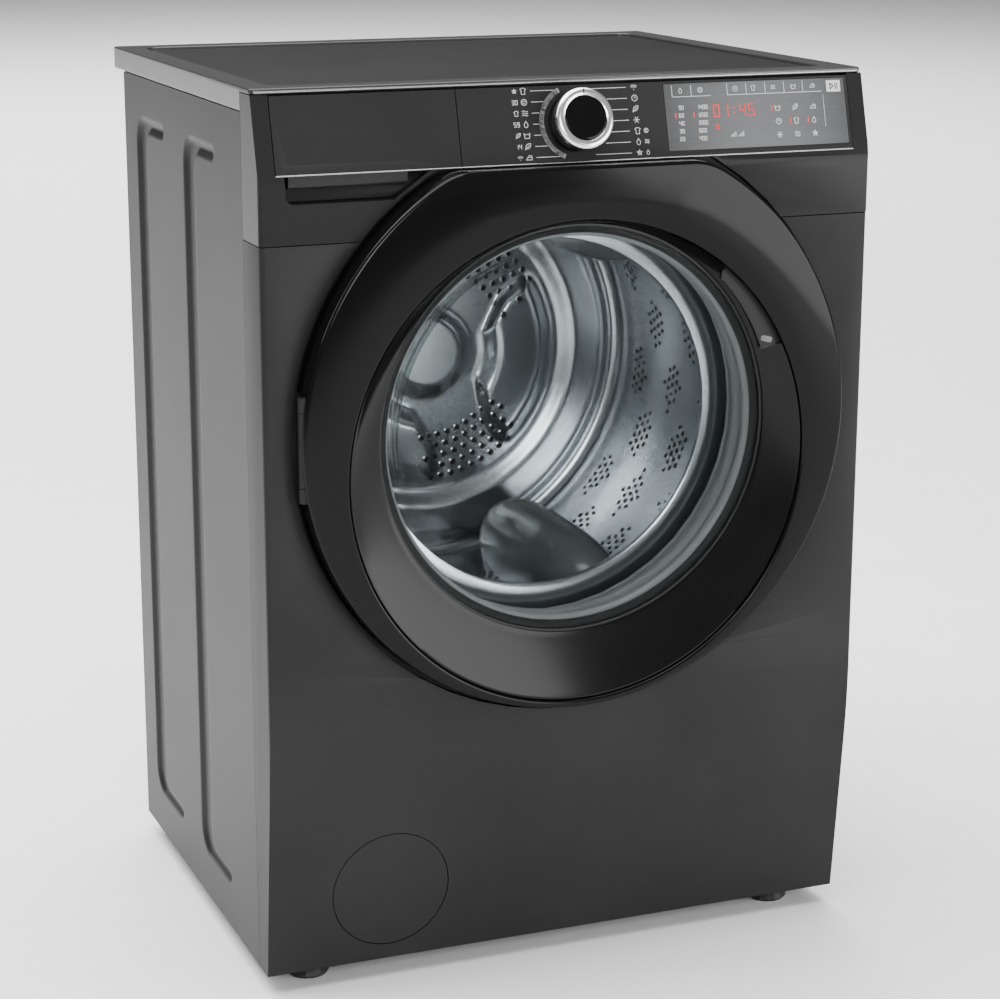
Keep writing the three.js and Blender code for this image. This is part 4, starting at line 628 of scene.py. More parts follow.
def carve(obj, points, faces):
    """Cuts a closed shape out of a piece, and applies the cut."""
    mesh = bpy.data.meshes.new("cutter")
    mesh.from_pydata([tuple(p) for p in np.asarray(points, float) * MM], [], faces)
    work = bmesh.new()
    work.from_mesh(mesh)
    bmesh.ops.recalc_face_normals(work, faces=work.faces)
    work.to_mesh(mesh)
    work.free()
    cutter = into_scene("cutter", mesh)
    cut = obj.modifiers.new("cut", "BOOLEAN")
    cut.object, cut.operation, cut.solver = cutter, "DIFFERENCE", "EXACT"
    bpy.context.view_layer.update()
    done = bpy.data.meshes.new_from_object(obj.evaluated_get(bpy.context.evaluated_depsgraph_get()))
    obj.modifiers.clear()
    old, obj.data = obj.data, done
    bpy.data.meshes.remove(old)
    bpy.data.objects.remove(cutter)
    bpy.data.meshes.remove(mesh)
    return obj


def box_points(x0, x1, y0, y1, z0, z1):
    return [(x, y, z) for x in (x0, x1) for y in (y0, y1) for z in (z0, z1)]


BOX_FACES = [(0, 1, 3, 2), (4, 6, 7, 5), (0, 4, 5, 1), (2, 3, 7, 6), (0, 2, 6, 4), (1, 5, 7, 3)]
door_ring = loft(
    "door_ring_gloss",
    rings,
    door_black,
    "door",
    ring=True,
    slot="black_gloss",
    stands_for=["door_ring"],
    crisp=40,
)
HINGE_Z0, HINGE_Z1 = DOOR_Z - 51.0, DOOR_Z + 51.0
carve(door_ring, box_points(-290, -231, -266.2, -230, HINGE_Z0, HINGE_Z1), BOX_FACES)
dress(door_ring, door_black, 40)
print("door ring faces:", len(door_ring.data.polygons))

# %% [markdown]
# The dish curves from the bowl's lip in to the glass. Its outer circle is lower than its inner one,
# so each outline in between is a circle whose centre has moved part of the way. A slot is cut in it
# for the fingers, and a moulded pocket closes the slot behind.

# %% The dish and its hand slot
DISH = [
    (0.0, -267.3), (0.012, -267.6), (0.04, -267.2), (0.12, -265.6), (0.25, -263.2), (0.42, -260.4),
    (0.6, -257.7),
]
DISH += [(0.78, -255.3), (0.9, -253.9), (0.97, -253.2), (1.0, -252.6)]
DISH_EDGE, DISH_GLASS = BOWL_R - 0.9, GLASS_R + 3.0
SLOT_FROM, SLOT_TO = 25.0, 52.0


def dish_circle(t, grow=0.0, steps=300):
    radius, z = DISH_EDGE + (DISH_GLASS - DISH_EDGE) * t + grow, BOWL_Z + (AXIS_Z - BOWL_Z) * t
    return arc(0, z, radius, 0, 360, steps)[:-1]


def slot_outline(grow=0.0):
    """The hand slot between the dish's edge and the glass rim, with rounded ends."""
    outer = arc(0, BOWL_Z, BOWL_R - 1.2 + grow, SLOT_FROM + 1.2 - grow / 4, SLOT_TO - 1.2 + grow / 4, 30)
    inner = arc(0, AXIS_Z, GLASS_R + 7.0 - grow, SLOT_TO - 8.2 + grow / 4, SLOT_FROM - 4.8 - grow / 4, 30)
    loop = np.vstack([outer, inner])
    return smooth_line(np.vstack([loop, loop[:1]]), 3)[:-1]


front_skin = [standing(dish_circle(t), y) for t, y in DISH]
back_skin = [standing(dish_circle(t), y + 2.2) for t, y in reversed(DISH[1:])]
dish = loft(
    "door_dish_gloss",
    front_skin + back_skin,
    dish_black,
    "door",
    ring=True,
    slot="black_gloss",
    stands_for=["door_dish"],
    crisp=40,
)
slot_loop = slot_outline()
prism_points = np.vstack([standing(slot_loop, -275.0), standing(slot_loop, -240.0)])
carve(dish, prism_points, loft_faces(2, len(slot_loop), ends=True))
dress(dish, dish_black, 40)
pocket_levels = [(1.5, -263.0), (0.6, -262.0), (0.3, -255.0), (-0.8, -249.5), (-2.6, -247.3), (-6.0, -246.6)]
pocket = [standing(slot_outline(g), y) for g, y in pocket_levels]
deep = pocket[-1].mean(0)
pocket += [deep + (pocket[-1] - deep) * k for k in (0.6, 0.2)]
outside = [p + np.array([0, 1.2, 0]) for p in reversed(pocket)]
loft("hand_slot_pocket", pocket + outside, pocket_black, "door", ends=True, slot="black_gloss", crisp=50)
print("dish faces:", len(dish.data.polygons))

# %% [markdown]
# A small grey finger tab sits at the lower end of the slot, where the hand pulls.

# %% The finger tab
tab_mid = np.array([222.0 * math.cos(math.radians(28.6)), BOWL_Z + 222.0 * math.sin(math.radians(28.6))])
tab_mid = tab_mid - np.array([6.0, 2.0])
tab = rounded_rect(-6.5, 6.5, -3.2, 3.2, 2.8, 6) @ np.array([[0.97, -0.24], [0.24, 0.97]]) + tab_mid
tab_levels = [(0.9, -252.0), (1.0, -262.2), (0.95, -263.4), (0.8, -264.0)]
loft(
    "finger_tab",
    [standing((tab - tab_mid) * k + tab_mid, y) for k, y in tab_levels],
    finish("finger_tab_grey", (0.09, 0.09, 0.092), 0.4, 0.0, 1200, 0.01, 0.08, 0.05),
    "door",
    slot="black_gloss",
)
print("finger tab at", tab_mid.round(1))

# %% [markdown]
# The glass is a bowl that keeps the wash inside the drum. Its profile is a flowing line, turned into
# a closed shell so that light passes through a front and a back skin. Its rim is rounded, which
# gives the bright beads seen round it.

# %% The bowl glass
GLASS_LINE = [
    (190, -249), (184.5, -249.2), (178, -248), (172.5, -243), (169, -233), (165.5, -220), (160, -202),
]
GLASS_LINE += [
    (154.5, -184), (147, -168), (139, -158), (126, -151), (105, -147.6), (80, -146), (45, -145.2), (0.0, -145),
]
inside = smooth_line(GLASS_LINE, 4)
slope = np.gradient(inside, axis=0)
slope /= np.linalg.norm(slope, axis=1)[:, None]
outside = inside + np.stack([-slope[:, 1], slope[:, 0]], 1) * -3.6
outside[:, 0] = np.maximum(outside[:, 0], 0.0)
outside[-1, 0] = 0.0
shell = np.vstack([inside, outside[::-1]])
keep = [k for k in range(len(shell)) if shell[k, 0] > 0.4]
lines = [tuple(shell[k]) for k in keep]
half_way = next(k for k, (a, b) in enumerate(zip(keep, keep[1:])) if b - a > 1) + 1
front_rings = around(lines[:half_way], steps=200)
rear_rings = around(lines[half_way:], steps=200)
glass_points = np.vstack([*front_rings, [[0, -145, AXIS_Z]], [[0, -141.4, AXIS_Z]], *rear_rings])
n = 200
faces = loft_faces(len(front_rings), n)
tip = len(front_rings) * n
faces += [(tip - n + i, tip - n + (i + 1) % n, tip) for i in range(n)]
start = tip + 2
faces += loft_faces(len(rear_rings), n, first=start)
faces += [(start + (i + 1) % n, start + i, tip + 1) for i in range(n)]
last = start + (len(rear_rings) - 1) * n
faces += [(last + i, last + (i + 1) % n, (i + 1) % n, i) for i in range(n)]
glass = piece(
    "bowl_glass_shell",
    glass_points,
    faces,
    bowl_glass,
    "door",
    slot="door_glass",
    stands_for=["door_glass"],
    crisp=60,
)
print("glass faces:", len(glass.data.polygons))

# %% [markdown]
# Behind the glass rim is a black printed ring that hides the glue, with a fine pale line at its inner
# edge. It is a thin plate of its own just behind the glass.

# %% The printed ring and the rear shell
print_line = [
    (190.5, -245.0), (190.5, -244.2), (186.5, -243.2), (184.0, -241.4), (183.6, -242.2), (186.4, -244.4),
]
loft(
    "glass_print_ring", around(print_line, steps=200), pocket_black, "door", ring=True,
    slot="black_gloss", crisp=50,
)
refined("door_back", shell_black, 0.6)
print("printed ring added")

# %% [markdown]
# ## The drum
# The drum is brushed stainless steel with thousands of small holes pressed into its wall in
# patches. The wall, the rolled mouth and the stamped back are one turned profile. The stamping is
# made by moving the back wall's own points with a smooth function.

# %% The drum's shell
LIFTER_TURN = 292.0
WALL_R = 232.0
lifter_angles = [LIFTER_TURN + 120 * k for k in range(3)]


def ease(x, low, high):
    """0 below low, 1 above high, and a smooth step between them."""
    t = np.clip((x - low) / (high - low), 0, 1)
    return t * t * (3 - 2 * t)


def off_angle(turn, middle):
    """Degrees from a middle angle, between -180 and 180."""
    return (turn - middle + 180) % 360 - 180


def back_relief(x, z):
    """How far the stamped back wall stands forward, in millimetres, at a point from the axis."""
    r, turn = np.hypot(x, z), np.degrees(np.arctan2(z, x))
    relief = 8.0 * ease(r, 150, 172) * (1 - ease(r, 196, 216))
    for a in lifter_angles:
        off = np.abs(off_angle(turn, a - 60))
        wide = 30 * ease(r, 30, 110) + 6
        relief += 12.0 * (1 - ease(off, wide, wide + 9)) * ease(r, 60, 84) * (1 - ease(r, 124, 146))
    return relief + 8.0 * (1 - ease(r, 34, 52))


def turned_shell(name, rings, front_tip, back_tip, inner_count, material, body, **more):
    """A closed shell: inner rings in to one tip, then outer rings back out from another."""
    n = len(rings[0])
    inner, outer = rings[:inner_count], rings[inner_count:]
    points = np.vstack([*inner, [front_tip], [back_tip], *outer])
    tip = inner_count * n
    first = tip + 2
    last = first + (len(outer) - 1) * n
    faces = loft_faces(inner_count, n) + loft_faces(len(outer), n, first=first)
    for i in range(n):
        j = (i + 1) % n
        faces += [
            (tip - n + i, tip - n + j, tip), (first + j, first + i, tip + 1), (last + i, last + j, j, i),
        ]
    return piece(name, points, faces, material, body, **more)


STEPS = 220
mouth = [(172.4, -160.4), (171.2, -163.5), (170.5, -167.0), (171.5, -170.2), (175.0, -171.6), (184, -171.0)]
mouth += [(206, -168.5), (222, -163.5), (230.0, -156.0), (WALL_R, -148.0)]
wall = [(WALL_R, y) for y in np.linspace(-138, 118, 20)] + [(230.5, 132), (226, 142), (219, 147.5)]
inner = around([*mouth, *wall], steps=STEPS)
for row in around([(r, 149.0) for r in np.linspace(214, 8, 60)], steps=STEPS):
    row[:, 1] -= back_relief(row[:, 0], row[:, 2] - AXIS_Z)
    inner.append(row)
outer = [
    (8, 152.0), (214, 152.0), (228, 147), (233.4, 134), (233.6, 0), (233.6, -149), (231.5, -157), (223, -165),
]
outer += [(206, -169.9), (184, -172.6), (174.0, -173.0), (169.6, -170.8), (168.8, -166.8), (170.6, -161.0)]
drum_shell = turned_shell(
    "drum_shell",
    inner + around(outer, steps=STEPS),
    (0, 141.0, AXIS_Z),
    (0, 152.0, AXIS_Z),
    len(inner),
    drum_steel,
    "drum_unit",
    slot="steel",
    stands_for=["drum"],
    crisp=50,
)
print("drum shell faces:", len(drum_shell.data.polygons))

# %% [markdown]
# ### Holes in the drum
# Each hole is pressed through the steel, so it has a small raised rim round a dark middle, which is painted
# shade. There are far too many to place by hand. The patches are worked out as a list of points, and a
# Geometry Nodes tree puts one rim and one dark disc of painted shade on every point, facing the drum's axis.

# %% Points for the holes


def wall_points():
    """Staggered holes in diamond patches on the drum's wall."""
    found = []
    columns, pitch = 152, 9.2
    for j in range(27):
        y = -126 + j * pitch
        for i in range(columns):
            turn = (i + 0.5 * (j % 2)) * 360 / columns
            if min(abs(off_angle(turn, a)) for a in lifter_angles) < 10:
                continue
            u = abs((turn / 15.0) % 2 - 1)
            v = abs(((y + 126) / 42.0) % 2 - 1)
            if abs(u - 0.5) + abs(v - 0.5) < 0.56 and (int(turn // 15) + int((y + 126) // 42)) % 2 == 0:
                a = math.radians(turn)
                found.append((231.7 * math.cos(a), y, AXIS_Z + 231.7 * math.sin(a)))
    return found


def back_points():
    """Larger holes in three patches on the back wall, beside each lifter."""
    found = []
    for a in lifter_angles:
        for row in range(5):
            for k in range(-4 + row % 2, 5, 1):
                turn = math.radians(a + (k + 0.5 * (row % 2)) * (13.0 - row * 0.9) * 0.55)
                r = 92 + row * 11.5
                x, z = r * math.cos(turn), r * math.sin(turn)
                found.append((x, 148.7 - float(back_relief(x, z)), AXIS_Z + z))
    return found


print("wall holes:", len(wall_points()), "back holes:", len(back_points()))

# %% [markdown]
# The tree has named inputs for the hole's size and the rim's height. A switch between "face the axis"
# and "face forward" is a vector input: the direction is the axis point minus the hole's place, with
# each part weighted by that vector.

# %% The tree that places holes


def hole_tree(name, rim, material):
    """A Geometry Nodes tree that puts a rim or a disc on each point."""
    tree = bpy.data.node_groups.new(name, "GeometryNodeTree")
    face = tree.interface
    face.new_socket("Geometry", in_out="INPUT", socket_type="NodeSocketGeometry")
    face.new_socket("Radius", in_out="INPUT", socket_type="NodeSocketFloat")
    face.new_socket("Height", in_out="INPUT", socket_type="NodeSocketFloat")
    face.new_socket("Inwards", in_out="INPUT", socket_type="NodeSocketFloat")
    face.new_socket("Forwards", in_out="INPUT", socket_type="NodeSocketFloat")
    face.new_socket("Geometry", in_out="OUTPUT", socket_type="NodeSocketGeometry")

    def add(kind, **settings):
        made = tree.nodes.new(kind)
        for key, value in settings.items():
            setattr(made, key, value)
        return made

    def link(out, into):
        tree.links.new(out, into)

    given, result = add("NodeGroupInput"), add("NodeGroupOutput")
    if rim:
        shape = add("GeometryNodeMeshCone", fill_type="NONE")
        shape.inputs["Vertices"].default_value = 10
        wider = add("ShaderNodeMath", operation="MULTIPLY")
        wider.inputs[1].default_value = 1.45
        link(given.outputs["Radius"], wider.inputs[0])
        link(wider.outputs[0], shape.inputs["Radius Bottom"])
        link(given.outputs["Radius"], shape.inputs["Radius Top"])
        link(given.outputs["Height"], shape.inputs["Depth"])
    else:
        shape = add("GeometryNodeMeshCircle", fill_type="NGON")
        shape.inputs["Vertices"].default_value = 10
        link(given.outputs["Radius"], shape.inputs["Radius"])
    place = add("GeometryNodeInputPosition")
    parts = add("ShaderNodeSeparateXYZ")
    link(place.outputs[0], parts.inputs[0])
    down = add("ShaderNodeMath", operation="SUBTRACT")
    down.inputs[0].default_value = AXIS_Z * MM
    link(parts.outputs["Z"], down.inputs[1])
    back = add("ShaderNodeMath", operation="MULTIPLY")
    back.inputs[1].default_value = -1.0
    link(parts.outputs["X"], back.inputs[0])
    joined = add("ShaderNodeCombineXYZ")
    for out, key in [(back, "X"), (down, "Z")]:
        weighed = add("ShaderNodeMath", operation="MULTIPLY")
        link(out.outputs[0], weighed.inputs[0])
        link(given.outputs["Inwards"], weighed.inputs[1])
        link(weighed.outputs[0], joined.inputs[key])
    ahead = add("ShaderNodeMath", operation="MULTIPLY")
    ahead.inputs[1].default_value = -1.0
    link(given.outputs["Forwards"], ahead.inputs[0])
    link(ahead.outputs[0], joined.inputs["Y"])
    aim = add("FunctionNodeAlignRotationToVector", axis="Z")
    link(joined.outputs[0], aim.inputs["Vector"])
    spread = add("GeometryNodeInstanceOnPoints")
    link(given.outputs["Geometry"], spread.inputs["Points"])
    link(shape.outputs["Mesh"], spread.inputs["Instance"])
    link(aim.outputs[0], spread.inputs["Rotation"])
    real = add("GeometryNodeRealizeInstances")
    link(spread.outputs[0], real.inputs[0])
    painted = add("GeometryNodeSetMaterial")
    painted.inputs["Material"].default_value = material
    link(real.outputs[0], painted.inputs[0])
    link(painted.outputs[0], result.inputs[0])
    return tree


def grown(name, points, tree, body, slot, material, crisp=50, **sizes):
    """Runs a tree on a list of points, and keeps its result as a plain piece."""
    mesh = bpy.data.meshes.new(name + "_points")
    mesh.from_pydata([tuple(c * MM for c in p) for p in points], [], [])
    seed = into_scene(name, mesh)
    run = seed.modifiers.new("grow", "NODES")
    run.node_group = tree
    for item in tree.interface.items_tree:
        if item.item_type == "SOCKET" and item.in_out == "INPUT" and item.name in sizes:
            run[item.identifier] = float(sizes[item.name])
    bpy.context.view_layer.update()
    done = bpy.data.meshes.new_from_object(seed.evaluated_get(bpy.context.evaluated_depsgraph_get()))
    seed.modifiers.clear()
    seed.data = done
    bpy.data.meshes.remove(mesh)
    dress(seed, material, crisp)
    return settle(seed, body)


# Painted shade: each dark disc stands for the shade inside a hole, behind the drum wall.
hole_dark = finish("hole_dark", (0.006, 0.006, 0.007), 0.6, 0.0, 900, 0.0, 0.2, 0.05)
rim_tree = hole_tree("hole rims", True, drum_steel)
shade_disc_tree = hole_tree("hole middles", False, hole_dark)
for name, points, inward, radius in [
    ("wall", wall_points(), 1.0, 1.9),
    ("back", back_points(), 0.0, 3.0),
]:
    grown(
        f"drum_{name}_hole_rims", points, rim_tree, "drum_unit", "steel", drum_steel,
        Radius=radius * MM, Height=0.7 * MM, Inwards=inward, Forwards=1 - inward,
    )
    raised = [(p[0] * 0.9985, p[1] - 0.25 * (1 - inward), AXIS_Z + (p[2] - AXIS_Z) * 0.9985) for p in points]
    grown(
        f"drum_{name}_holes", raised, shade_disc_tree, "drum_unit", "steel", hole_dark,
        Radius=radius * MM, Height=0.0, Inwards=inward, Forwards=1 - inward,
    )
print("holes placed")

# %% [markdown]
# ### Lifters
# Three paddles carry the washing up the drum's wall. Each is a smooth moulded hump with rounded ends.
# Its outline is a bell, made lower and narrower towards both ends.

# %% Lifters
paddle_grey = finish(
    "paddle_plastic", (0.22, 0.235, 0.24), 0.26, 0.15, 900, 0.01, 0.06, 0.06, 0.3, Coat_Roughness=0.1,
)


def lifter_place(turn, y, across, height):
    """A point on a lifter, from its angle, depth, sideways place and height above the wall."""
    a = math.radians(turn)
    r = WALL_R + 0.4 - height
    return (r * math.cos(a) - across * math.sin(a), y, AXIS_Z + r * math.sin(a) + across * math.cos(a))


def lifter_section(turn, s, half=46.0, high=72.0):
    end = max(1e-3, 1 - abs(2 * s - 1) ** 3.4) ** 0.5
    y = -131 + 271 * s
    outline = []
    for k in range(29):
        a = math.pi * k / 28
        across = half * (0.35 + 0.65 * end) * math.cos(a)
        height = high * end * math.sin(a) ** 0.85
        outline.append(lifter_place(turn, y, across, height - (across * across) / (2 * WALL_R)))
    foot = [lifter_place(turn, y, across_end, -0.6) for across_end in (-half * 0.3, half * 0.3)]
    return np.array(outline + foot)


stations = 0.5 - 0.5 * np.cos(np.linspace(0, np.pi, 49))
for k, turn in enumerate(lifter_angles):
    loft(
        f"lifter_{k + 1}_moulded",
        [lifter_section(turn, s) for s in stations],
        paddle_grey,
        "drum_unit",
        slot="pale_plastic",
        stands_for=[f"lifter_{k + 1}"],
        crisp=60,
    )
print("lifters: 3")

# %% [markdown]
# ### The seal
# A folded rubber seal joins the cabinet's opening to the tub. It has to follow both: its front edge
# stays with the cabinet, and its back edge moves with the tub. Here it is one fixed piece on no body.

# %% The door seal
SEAL = [
    (210, -235.5), (206, -237.2), (201, -236.4), (196, -237.8), (189, -239.6), (184, -238.4), (181.2, -234.6),
]
SEAL += [
    (183, -230.6), (190, -228.4), (197.6, -226.2), (201.2, -221.4), (198.6, -216.6), (190, -214.6),
    (184.6, -211.2),
]
SEAL += [(184.2, -206.8), (188.2, -203.2), (192.2, -198.6), (193, -188.5)]
seal_line = smooth_line(SEAL, 4)
slope = np.gradient(seal_line, axis=0)
slope /= np.linalg.norm(slope, axis=1)[:, None]
side = np.stack([-slope[:, 1], slope[:, 0]], 1) * 1.4
seal = loft(
    "door_seal_folds",
    around([tuple(p) for p in np.vstack([seal_line + side, (seal_line - side)[::-1]])], steps=160),
    rubber,
    None,
    ring=True,
    slot="rubber_seal",
    stands_for=["door_gasket"],
    crisp=60,
)
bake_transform(seal)
print("seal faces:", len(seal.data.polygons))

# %% [markdown]
# ## The control panel
# The panel leans back, so everything on it is placed with two numbers: x across, and s up the slope
# from its lower edge. A third number lifts a point off the panel. The printed marks are thin raised
# strokes, which keeps them crisp in the mesh as well as in a render.

# %% Places on the leaning panel
LEAN_Y, LEAN_Z = -247.0, 776.0
UP = np.array([0.0, 0.2655, 0.9641])
OUT = np.array([0.0, -0.9641, 0.2655])
PANEL_RISE = 71.57


def on_panel(x, s, lift=0.0):
    return np.array([x, LEAN_Y, LEAN_Z]) + s * UP + lift * OUT


def stroke(points, width, base=0.0, high=0.16, closed=False):
    """A flat line along points (x, s), as thin boxes joined end to end."""
    p = np.asarray(points, float)
    if closed:
        p = np.vstack([p, p[:1]])
    verts, faces = [], []
    for a, b in zip(p, p[1:]):
        along = b - a
        length = np.linalg.norm(along)
        if length < 1e-6:
            continue
        along = along / length * width / 2
        side = np.array([-along[1], along[0]])
        corners = [
            a - along * 0.6 - side, b + along * 0.6 - side, b + along * 0.6 + side, a - along * 0.6 + side,
        ]
        first = len(verts)
        verts += [on_panel(x, s, base) for x, s in corners]
        verts += [on_panel(x, s, base + high) for x, s in corners]
        faces += [
            tuple(first + k for k in f)
            for f in [(3, 2, 1, 0), (4, 5, 6, 7), (0, 1, 5, 4), (1, 2, 6, 5), (2, 3, 7, 6), (3, 0, 4, 7)]
        ]
    return verts, faces


class Print:
    """Collects strokes of one colour, then becomes one piece."""

    def __init__(self, base):
        self.base, self.verts, self.faces = base, [], []

    def draw(self, points, width=0.5, closed=False):
        verts, faces = stroke(points, width, self.base, closed=closed)
        first = len(self.verts)
        self.verts += verts
        self.faces += [tuple(first + k for k in f) for f in faces]

    def become(self, name, material, body, slot):
        return piece(name, self.verts, self.faces, material, body, slot=slot, crisp=20, turn=False)


print("the panel rises", PANEL_RISE, "mm along its slope")

# %% [markdown]
# Pictograms are drawn on a small square from -1 to 1: a shirt, a drop, a clock and so on. Numbers are
# drawn with seven bars, as on a display. Both are plain signs that any machine might carry.

# %% Pictograms and numbers


def ring_of(radius, steps=10, cx=0.0, cy=0.0, start=0, stop=360):
    return [tuple(p) for p in arc(cx, cy, radius, start, stop, steps)]


SIGNS = {
    "shirt": [
        [
            (-0.9, 0.5), (-0.4, 0.9), (0.4, 0.9), (0.9, 0.5), (0.55, 0.2),
            (0.55, -0.9), (-0.55, -0.9), (-0.55, 0.2), (-0.9, 0.5),
        ]
    ],
    "clock": [ring_of(0.9), [(0, 0.5), (0, 0), (0.4, 0)]],
    "spiral": [ring_of(0.9), ring_of(0.45, 8, start=0, stop=300)],
    "drop": [[(0, 0.95), (0.6, 0), (0.45, -0.7), (0, -0.95), (-0.45, -0.7), (-0.6, 0), (0, 0.95)]],
    "waves": [[(-0.9, h), (-0.45, h + 0.2), (0, h), (0.45, h - 0.2), (0.9, h)] for h in (0.6, 0, -0.6)],
    "flake": [[(math.cos(a), math.sin(a)), (-math.cos(a), -math.sin(a))] for a in (0, 1.047, 2.094)],
    "tub": [[(-0.9, 0.7), (-0.7, -0.8), (0.7, -0.8), (0.9, 0.7)], [(-0.8, 0.2), (0, 0.4), (0.8, 0.2)]],
    "leaf": [
        [(-0.9, -0.9), (-0.6, 0.4), (0.2, 0.9), (0.9, 0.9), (0.7, 0), (0, -0.6), (-0.6, -0.5)],
        [(-0.9, -0.9), (0.5, 0.5)],
    ],
    "lock": [
        [(-0.6, 0), (0.6, 0), (0.6, -0.9), (-0.6, -0.9), (-0.6, 0)],
        [(-0.35, 0), (-0.35, 0.6), (0, 0.9), (0.35, 0.6), (0.35, 0)],
    ],
    "iron": [
        [(-0.95, -0.6), (0.9, -0.6), (0.9, 0.1), (-0.3, 0.2), (-0.95, -0.6)],
        [(-0.2, 0.6), (0.8, 0.6), (0.9, 0.1)],
    ],
    "lines": [[(-0.8, h), (0.8, h)] for h in (0.55, 0, -0.55)],
    "star": [
        [(0.9 * math.cos(1.57 + b), 0.9 * math.sin(1.57 + b)) for b in (0, 2.51, 5.03, 7.54, 10.05, 12.57)]
    ],
    "bars": [
        [(-0.9, -0.8), (-0.9, -0.3)], [(-0.3, -0.8), (-0.3, 0.1)], [(0.3, -0.8), (0.3, 0.5)],
        [(0.9, -0.8), (0.9, 0.9)],
    ],
    "signal": [ring_of(0.9, 5, 0, -0.8, 45, 135), ring_of(1.4, 5, 0, -0.8, 45, 135), [(0, -0.8), (0, -0.6)]],
}
SEGMENTS = {
    "0": "abcdef", "1": "bc", "2": "abged", "3": "abgcd", "4": "fgbc", "5": "afgcd",
    "6": "afgedc", "7": "abc", "8": "abcdefg", "9": "abfgcd", "-": "g",
}
BARS = {
    "a": ((-1, 2), (1, 2)), "b": ((1, 2), (1, 0)), "c": ((1, 0), (1, -2)), "d": ((-1, -2), (1, -2)),
    "e": ((-1, 0), (-1, -2)), "f": ((-1, 2), (-1, 0)), "g": ((-1, 0), (1, 0)),
}


def sign(ink, name, x, s, size, width=0.42):
    for line in SIGNS[name]:
        ink.draw([(x + px * size, s + py * size) for px, py in line], width)


def number(ink, text, x, s, high, width=0.4):
    """Digits centred on a place; high is their full height."""
    half, step = high / 4, high * 0.78
    start = x - step * (len(text) - 1) / 2
    for k, char in enumerate(text):
        cx = start + k * step
        if char == ":":
            for dot in (high * 0.2, -high * 0.2):
                ink.draw([(cx - width * 0.3, s + dot), (cx + width * 0.3, s + dot)], width * 1.3)
            continue
        for bar in SEGMENTS[char]:
            (ax, ay), (bx, by) = BARS[bar]
            shrink = 0.94
            ink.draw(
                [
                    (cx + ax * half * shrink, s + ay * half * shrink),
                    (cx + bx * half * shrink, s + by * half * shrink),
                ],
                width,
            )


print("signs:", len(SIGNS))

# %% [markdown]
# Programme signs stand in two columns beside the knob. A fine line leads from each to the silver arc
# round the knob, and the arc carries small ticks.

# %% Programme marks
KNOB_X, KNOB_S = 2.0, PANEL_RISE / 2
ARC_R = 32.7
panel_ink, silver_ink = Print(0.02), Print(0.02)
left_signs = ["shirt", "spiral", "waves", "drop", "tub", "leaf", "iron"]
right_signs = ["signal", "clock", "leaf", "flake", "shirt", "drop", "star"]
for row in range(7):
    s = KNOB_S + (3 - row) * 10.0
    drop = (3 - row) * 10.0
    reach = math.sqrt(max(39.0**2 - drop**2, 0))
    near = math.sqrt(max(34.5**2 - drop**2, 0))
    panel_ink.draw([(-39, s), (KNOB_X - reach + 0.5, s), (KNOB_X - near * 0.995 - 1.4, s)], 0.42)
    panel_ink.draw([(KNOB_X + near + 0.5, s), (55, s)], 0.42)
    sign(panel_ink, left_signs[row], -46, s, 3.1)
    if row % 2 == 0:
        sign(panel_ink, right_signs[6 - row], -54.5, s, 2.5)
    else:
        number(panel_ink, ("30", "59", "14")[row // 2], -55, s, 4.2, 0.42)
    sign(panel_ink, right_signs[row], 63, s, 3.1)
    if row > 3:
        sign(panel_ink, left_signs[row - 3], 71.5, s, 2.3)
silver_ink.draw([tuple(p) for p in arc(KNOB_X, KNOB_S, ARC_R, 116, 245, 44)], 4.4)
dark_ink = Print(0.2)
for k in range(9):
    a = math.radians(150 + 7.5 * k)
    radii = (ARC_R - 1.2, ARC_R + 1.2 - (k % 3) * 0.4)
    dark_ink.draw([(KNOB_X + r * math.cos(a), KNOB_S + r * math.sin(a)) for r in radii], 0.5)
panel_ink.become("programme_marks", white_mark, "cabinet", "black_plastic")
silver_ink.become("programme_arc", grey_mark, "cabinet", "silver_panel")
dark_ink.become("programme_arc_ticks", pocket_black, "cabinet", "black_plastic")
print("programme rows: 7")

# %% [markdown]
# The display carries touch keys along its top, two columns of numbers, a clock in red, and a block of
# option signs. Red ticks show what is chosen.

# %% Display marks
white_ink, red_ink, ink_dark = Print(0.03), Print(0.03), Print(0.3)
keys = [
    (109.6, "drop"), (129.9, "spiral"), (165.9, "clock"), (184.6, "shirt"), (205.4, "lines"),
    (226.4, "tub"), (246.4, "iron"),
]
for x, name in keys:
    sign(white_ink, name, x, 60.8, 2.6, 0.5)
for x0, x1, cells in [(101, 140, 2), (157.5, 256, 5)]:
    white_ink.draw([(x0, 55.2), (x1, 55.2)], 0.45)
    for k in range(cells):
        x = x0 + (x1 - x0) * k / cells
        white_ink.draw([(x, 55.2), (x, 65.5)], 0.45)
HEATS, SPEEDS = ("90", "60", "40", "30", "20"), ("1400", "1200", "1000", "800", "400")
for row, (heat, speed) in enumerate(zip(HEATS, SPEEDS)):
    s = 45.0 - row * 7.2
    number(white_ink, heat, 109.0 - row * 0.4, s, 3.6, 0.5)
    number(white_ink, speed, 130.5 - row * 0.5, s, 3.6, 0.5)
for x, s in [(102.8, 37.8), (121.4, 37.8)]:
    red_ink.draw([(x, s - 2), (x, s + 2)], 1.0)
number(red_ink, "01:45", 162.5, 40.8, 11.5, 1.15)
sign(red_ink, "lock", 144.5, 26.6, 2.7, 0.6)
sign(white_ink, "bars", 160, 18.5, 2.6, 0.6)
sign(white_ink, "bars", 168, 18.5, 2.6, 0.6)
option_signs = ["tub", "leaf", "iron", "clock", "shirt", "drop", "flake", "waves", "star"]
for k, name in enumerate(option_signs):
    x, s = 208.0 + (k % 3) * 18.6, 41.4 - (k // 3) * 12.6
    sign(white_ink, name, x, s, 3.0, 0.55)
